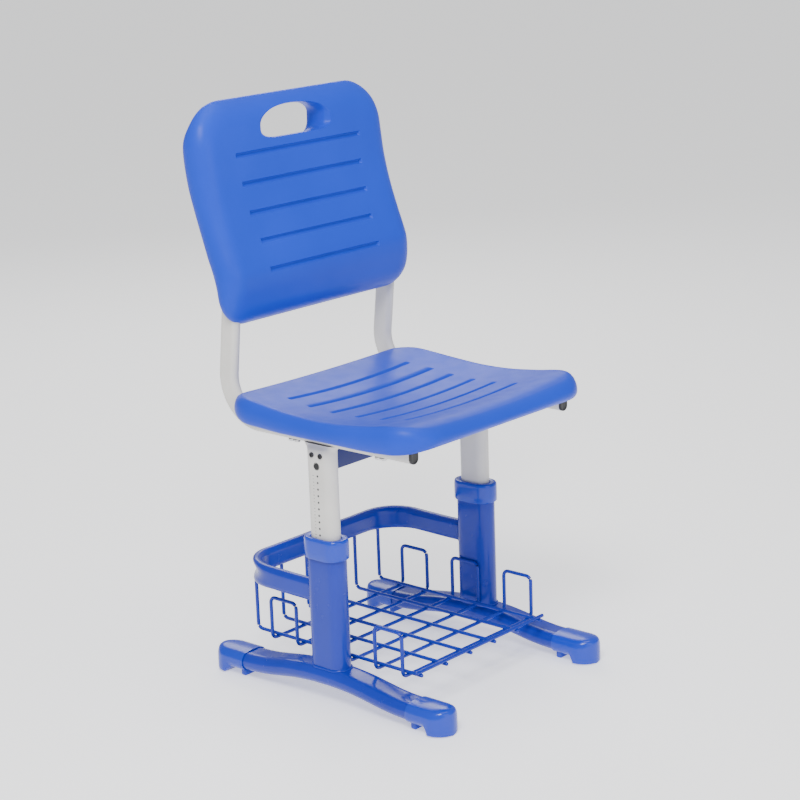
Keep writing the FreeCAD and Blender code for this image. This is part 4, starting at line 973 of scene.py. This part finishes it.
def column_places(limit, spots, base):
    """Places across one half, from the middle to the limit."""
    return clustered(0.0, limit, base, spots, (), (0.0, 0.25, 1.2, 3.0))


def shell_mesh(name, rows, width_at, columns, limit, edge, front, back, to_point):
    """A closed shell between two height fields over rows and columns.

    front and back give the two faces at (across, row); edge pinches them together towards the
    outline.  to_point turns (across, row, height) into x, y, z.
    """
    tail = [0.0, 0.08, 0.18, 0.3, 0.42, 0.54, 0.65, 0.75, 0.83, 0.895, 0.94, 0.97, 0.988, 0.997, 1.0]
    verts = []
    faces = []
    ring_size = None
    for row in rows:
        wide = width_at(row)
        inner_limit = min(limit, wide * 0.90)
        scale = inner_limit / limit
        half = [c * scale for c in columns]
        half += [inner_limit + (wide - inner_limit) * t for t in tail[1:]]
        across = [-c for c in reversed(half[1:])] + half
        ring = []
        for a in across:
            ring.append(to_point(a, row, edge(a, row, front(a, row), back(a, row))[0]))
        for a in reversed(across[1:-1]):
            ring.append(to_point(a, row, edge(a, row, front(a, row), back(a, row))[1]))
        ring_size = len(ring)
        verts.extend(ring)
    for i in range(len(rows) - 1):
        for k in range(ring_size):
            j = (k + 1) % ring_size
            faces.append((i * ring_size + k, i * ring_size + j, (i + 1) * ring_size + j, (i + 1) * ring_size + k))
    return mesh_object(name, verts, faces, sharp_angle=62)


def make_seat():
    centre_y = -14.0
    half_y = 174.0
    corner = 52.0

    def width_at(y):
        return half_width(y - centre_y, SEAT_WIDE, half_y, corner) * spline(SEAT_SIDE, y, 1)

    def front(a, y):
        wide = max(width_at(y), 60.0)
        crown = RAIL_Z + spline(SEAT_ROWS, y, 1)
        dish = 11.5 * spline(SEAT_ROWS, y, 3)
        height = crown - dish * (1 - min(1.0, abs(a) / wide) ** 2)
        for spot, half in zip(SEAT_GROOVES, GROOVE_HALF):
            if abs(y - spot) < 5:
                height -= groove_depth(y - spot, a, half)
        return height

    def back(a, y):
        height = 370.0 + spline(SEAT_ROWS, y, 2)
        gap = abs(abs(a) - LEG)
        if gap < 8.2 and y > -167:
            height = max(height, 387.6 - 7.5 * (1 - math.sqrt(max(0.0, 1 - (gap / 8.2) ** 2))))
        return height

    def edge(a, y, high, low):
        side = spline(SEAT_SIDE, y, 1)
        inside = rounded_box_distance(a / side, y - centre_y, SEAT_WIDE, half_y, corner)
        thick = high - low
        middle = low + thick * 0.36
        over = 15.0
        under = 9.0
        if inside < over:
            t = 1 - max(inside, 0.0) / over
            high = middle + (high - middle) * math.sqrt(max(0.0, 1 - t ** 2.3))
        if inside < under:
            t = 1 - max(inside, 0.0) / under
            low = middle - (middle - low) * math.sqrt(max(0.0, 1 - t ** 2.2))
        return high, low

    rows = clustered(centre_y - half_y, centre_y + half_y, 7.0, SEAT_GROOVES,
                     (0.15, 0.5, 1.1, 2.0, 3.2, 4.8, 6.8, 9.2, 12, 15), (0.0, 1.2, 2.2, 3.0, 3.4, 3.62, 3.72, 4.5))
    columns = column_places(170.0, (116, 119, 122, 125, 127, 147.8, 148.2, 163.8, 164.2), 8.0)
    seat = shell_mesh("seat_moulding", rows, width_at, columns, 170.0, edge, front, back,
                      lambda a, y, z: (a, y, z))
    finish_piece(seat, "lift", shell_plastic, "blue_shell", "seat_shell")


BACK_WIDE = 183.0
BACK_ROWS = (
    (499, 141, 155), (505, 134, 159), (517, 130, 160.5), (534, 128, 161), (551, 125.5, 164), (570, 125.6, 170),
    (590, 132, 178), (608, 139.4, 184), (645, 152.5, 196.5), (683, 162, 208), (720, 167.5, 214), (745, 171, 214),
    (765, 174.5, 210), (778, 178, 209), (787, 182, 208), (794, 187, 204),
)
BACK_GROOVES = (721.5, 683, 644.5, 607.5, 570)
BACK_GROOVE_HALF = (123, 119, 117, 112, 110)


def make_back():
    low_z, high_z = 499.0, 794.0
    centre_z = (low_z + high_z) / 2
    half_z = (high_z - low_z) / 2

    def corner_at(z):
        return 62.0 if z > centre_z else 42.0

    def width_at(z):
        return half_width(z - centre_z, BACK_WIDE, half_z, corner_at(z))

    def front(a, z):
        face = spline(BACK_ROWS, z, 1)
        face -= 1.5 * (abs(a) / BACK_WIDE) ** 2
        for spot, half in zip(BACK_GROOVES, BACK_GROOVE_HALF):
            if abs(z - spot) < 5:
                face += groove_depth(z - spot, a, half, 4.2, 3.5)
        return face

    def back(a, z):
        return spline(BACK_ROWS, z, 2)

    def edge(a, z, near, far):
        inside = rounded_box_distance(a, z - centre_z, BACK_WIDE, half_z, corner_at(z))
        thick = far - near
        middle = near + thick * 0.60
        fore = 34.0
        aft = 15.0
        if inside < fore:
            t = 1 - max(inside, 0.0) / fore
            near = middle - (middle - near) * math.sqrt(max(0.0, 1 - t ** 2.6))
        if inside < aft:
            t = 1 - max(inside, 0.0) / aft
            far = middle + (far - middle) * math.sqrt(max(0.0, 1 - t ** 2.2))
        return near, far

    rows = clustered(low_z, high_z, 7.0, BACK_GROOVES, (0.15, 0.5, 1.1, 2.0, 3.2, 4.8, 6.8, 9.2, 12, 16, 20, 25, 30),
                     (0.0, 1.2, 2.2, 2.9, 3.25, 3.42, 3.52, 4.3))
    columns = column_places(150.0, (110, 112, 117, 119, 123), 8.0)
    back_piece = shell_mesh("back_moulding", rows, width_at, columns, 150.0, edge, front, back,
                            lambda a, z, y: (a, y, z))
    cutter = hole_cutter()
    cut = back_piece.modifiers.new("hand_hole", "BOOLEAN")
    cut.operation = "DIFFERENCE"
    cut.solver = "EXACT"
    cut.object = cutter
    apply_modifiers(back_piece)
    bpy.data.objects.remove(cutter, do_unlink=True)
    mark_sharp(back_piece.data, 62)
    finish_piece(back_piece, "lift", shell_plastic, "blue_shell", "back_shell")


HOLE_NECK_Y = 197.0


def hole_ring(growth, count=48):
    """The hand hole's outline in (x, z): flat below with round corners, arched above."""
    bottom = 739.5 - growth
    half = 60.0 + growth
    height = 36.5 + 2 * growth
    ring = []
    for i in range(count):
        angle = 2 * math.pi * i / count
        c, sn = math.cos(angle), math.sin(angle)
        if sn >= 0:
            x = half * math.copysign(abs(c) ** 0.92, c)
            z = bottom + height * 0.42 + height * 0.58 * sn ** 0.95
        else:
            x = half * math.copysign(abs(c) ** 0.30, c) * (1 - 0.10 * (-sn) ** 2)
            z = bottom + height * 0.42 - height * 0.42 * (-sn) ** 0.5
        ring.append((x, z))
    return ring


def hole_cutter():
    """A D-shaped passage with its neck inside the back, flared like a bell to each face."""
    stations = []
    front_depth, front_flare = 24.0, 9.0
    rear_depth, rear_flare = 16.0, 6.0
    for i in range(7, -1, -1):
        t = i / 7
        stations.append((HOLE_NECK_Y - front_depth * t, front_flare * (1 - math.sqrt(max(0.0, 1 - t * t)))))
    stations.insert(0, (HOLE_NECK_Y - front_depth - 12, front_flare + 4))
    for i in range(1, 8):
        t = i / 7
        stations.append((HOLE_NECK_Y + 1.5 + rear_depth * t, rear_flare * (1 - math.sqrt(max(0.0, 1 - t * t)))))
    stations.append((HOLE_NECK_Y + rear_depth + 14, rear_flare + 4))
    verts = []
    faces = []
    count = 48
    for y, growth in stations:
        for index, (x, z) in enumerate(hole_ring(growth, count)):
            low = max(0.0, -math.sin(2 * math.pi * index / count)) ** 0.5
            verts.append((x, y, z + low * (0.6 * growth - 0.36 * (y - 172))))
    for row in range(len(stations) - 1):
        for k in range(count):
            j = (k + 1) % count
            faces.append((row * count + k, row * count + j, (row + 1) * count + j, (row + 1) * count + k))
    faces.append(tuple(range(count))[::-1])
    last = (len(stations) - 1) * count
    faces.append(tuple(range(last, last + count)))
    return mesh_object("hole_cutter", verts, faces)


make_feet()
make_caps()
make_columns()
make_inner_columns()
make_scale()
make_side_frames()
make_beam()
make_band()
make_basket()
make_seat()
make_back()

# ------------------------------------------------------------------ floor, light, camera


def make_stage():
    bpy.ops.mesh.primitive_plane_add(size=1)
    floor = bpy.context.active_object
    floor.name = "studio_floor"
    floor.scale = (90, 90, 1)
    material, tree, bsdf = shader("studio_floor", (0.86, 0.86, 0.87), 0.75)
    vector = coordinates(tree)
    vary_color(tree, bsdf, noise_node(tree, vector, 3, 2), (0.85, 0.85, 0.86), (0.88, 0.88, 0.885))
    bsdf.inputs["Emission Color"].default_value = (1, 1, 1, 1)
    bsdf.inputs["Emission Strength"].default_value = 0.7
    floor.data.materials.append(material)


def area_light(name, place, target, size, power, color=(1, 1, 1)):
    data = bpy.data.lights.new(name, "AREA")
    data.shape = "RECTANGLE"
    data.size, data.size_y = size
    data.energy = power
    data.color = color
    item = bpy.data.objects.new(name, data)
    item.location = place
    item.rotation_euler = (Vector(target) - Vector(place)).to_track_quat("-Z", "Y").to_euler()
    bpy.context.scene.collection.objects.link(item)


def make_lights():
    world = bpy.data.worlds.new("studio")
    bpy.context.scene.world = world
    world.use_nodes = True
    background = world.node_tree.nodes["Background"]
    background.inputs["Color"].default_value = (0.97, 0.98, 1.0, 1)
    background.inputs["Strength"].default_value = 0.5
    middle = (0, 0, 0.4)
    area_light("key_softbox", (-1.7, -1.0, 2.5), middle, (1.0, 1.0), 84)
    area_light("front_fill", (-0.6, -3.2, 1.2), middle, (2.0, 1.6), 20)
    area_light("rear_rim", (1.6, 1.9, 1.9), middle, (1.4, 1.4), 26)
    area_light("top_softbox", (0.2, -0.1, 2.9), middle, (1.8, 1.8), 30)


def make_camera():
    data = bpy.data.cameras.new("camera")
    data.sensor_width = 36.0
    data.lens = 98.0
    item = bpy.data.objects.new("camera", data)
    stand = Vector((-2.1365, -1.9111, 1.1409))
    back = (stand - Vector((-0.005, -0.005, 0.385))).normalized()
    right = Vector((0.2413, 0.1681, 0.9558)).cross(back).normalized()
    place = Matrix((right, back.cross(right), back)).transposed().to_4x4()
    place.translation = stand
    item.matrix_world = place
    bpy.context.scene.collection.objects.link(item)
    bpy.context.scene.camera = item


make_stage()
make_lights()
make_camera()
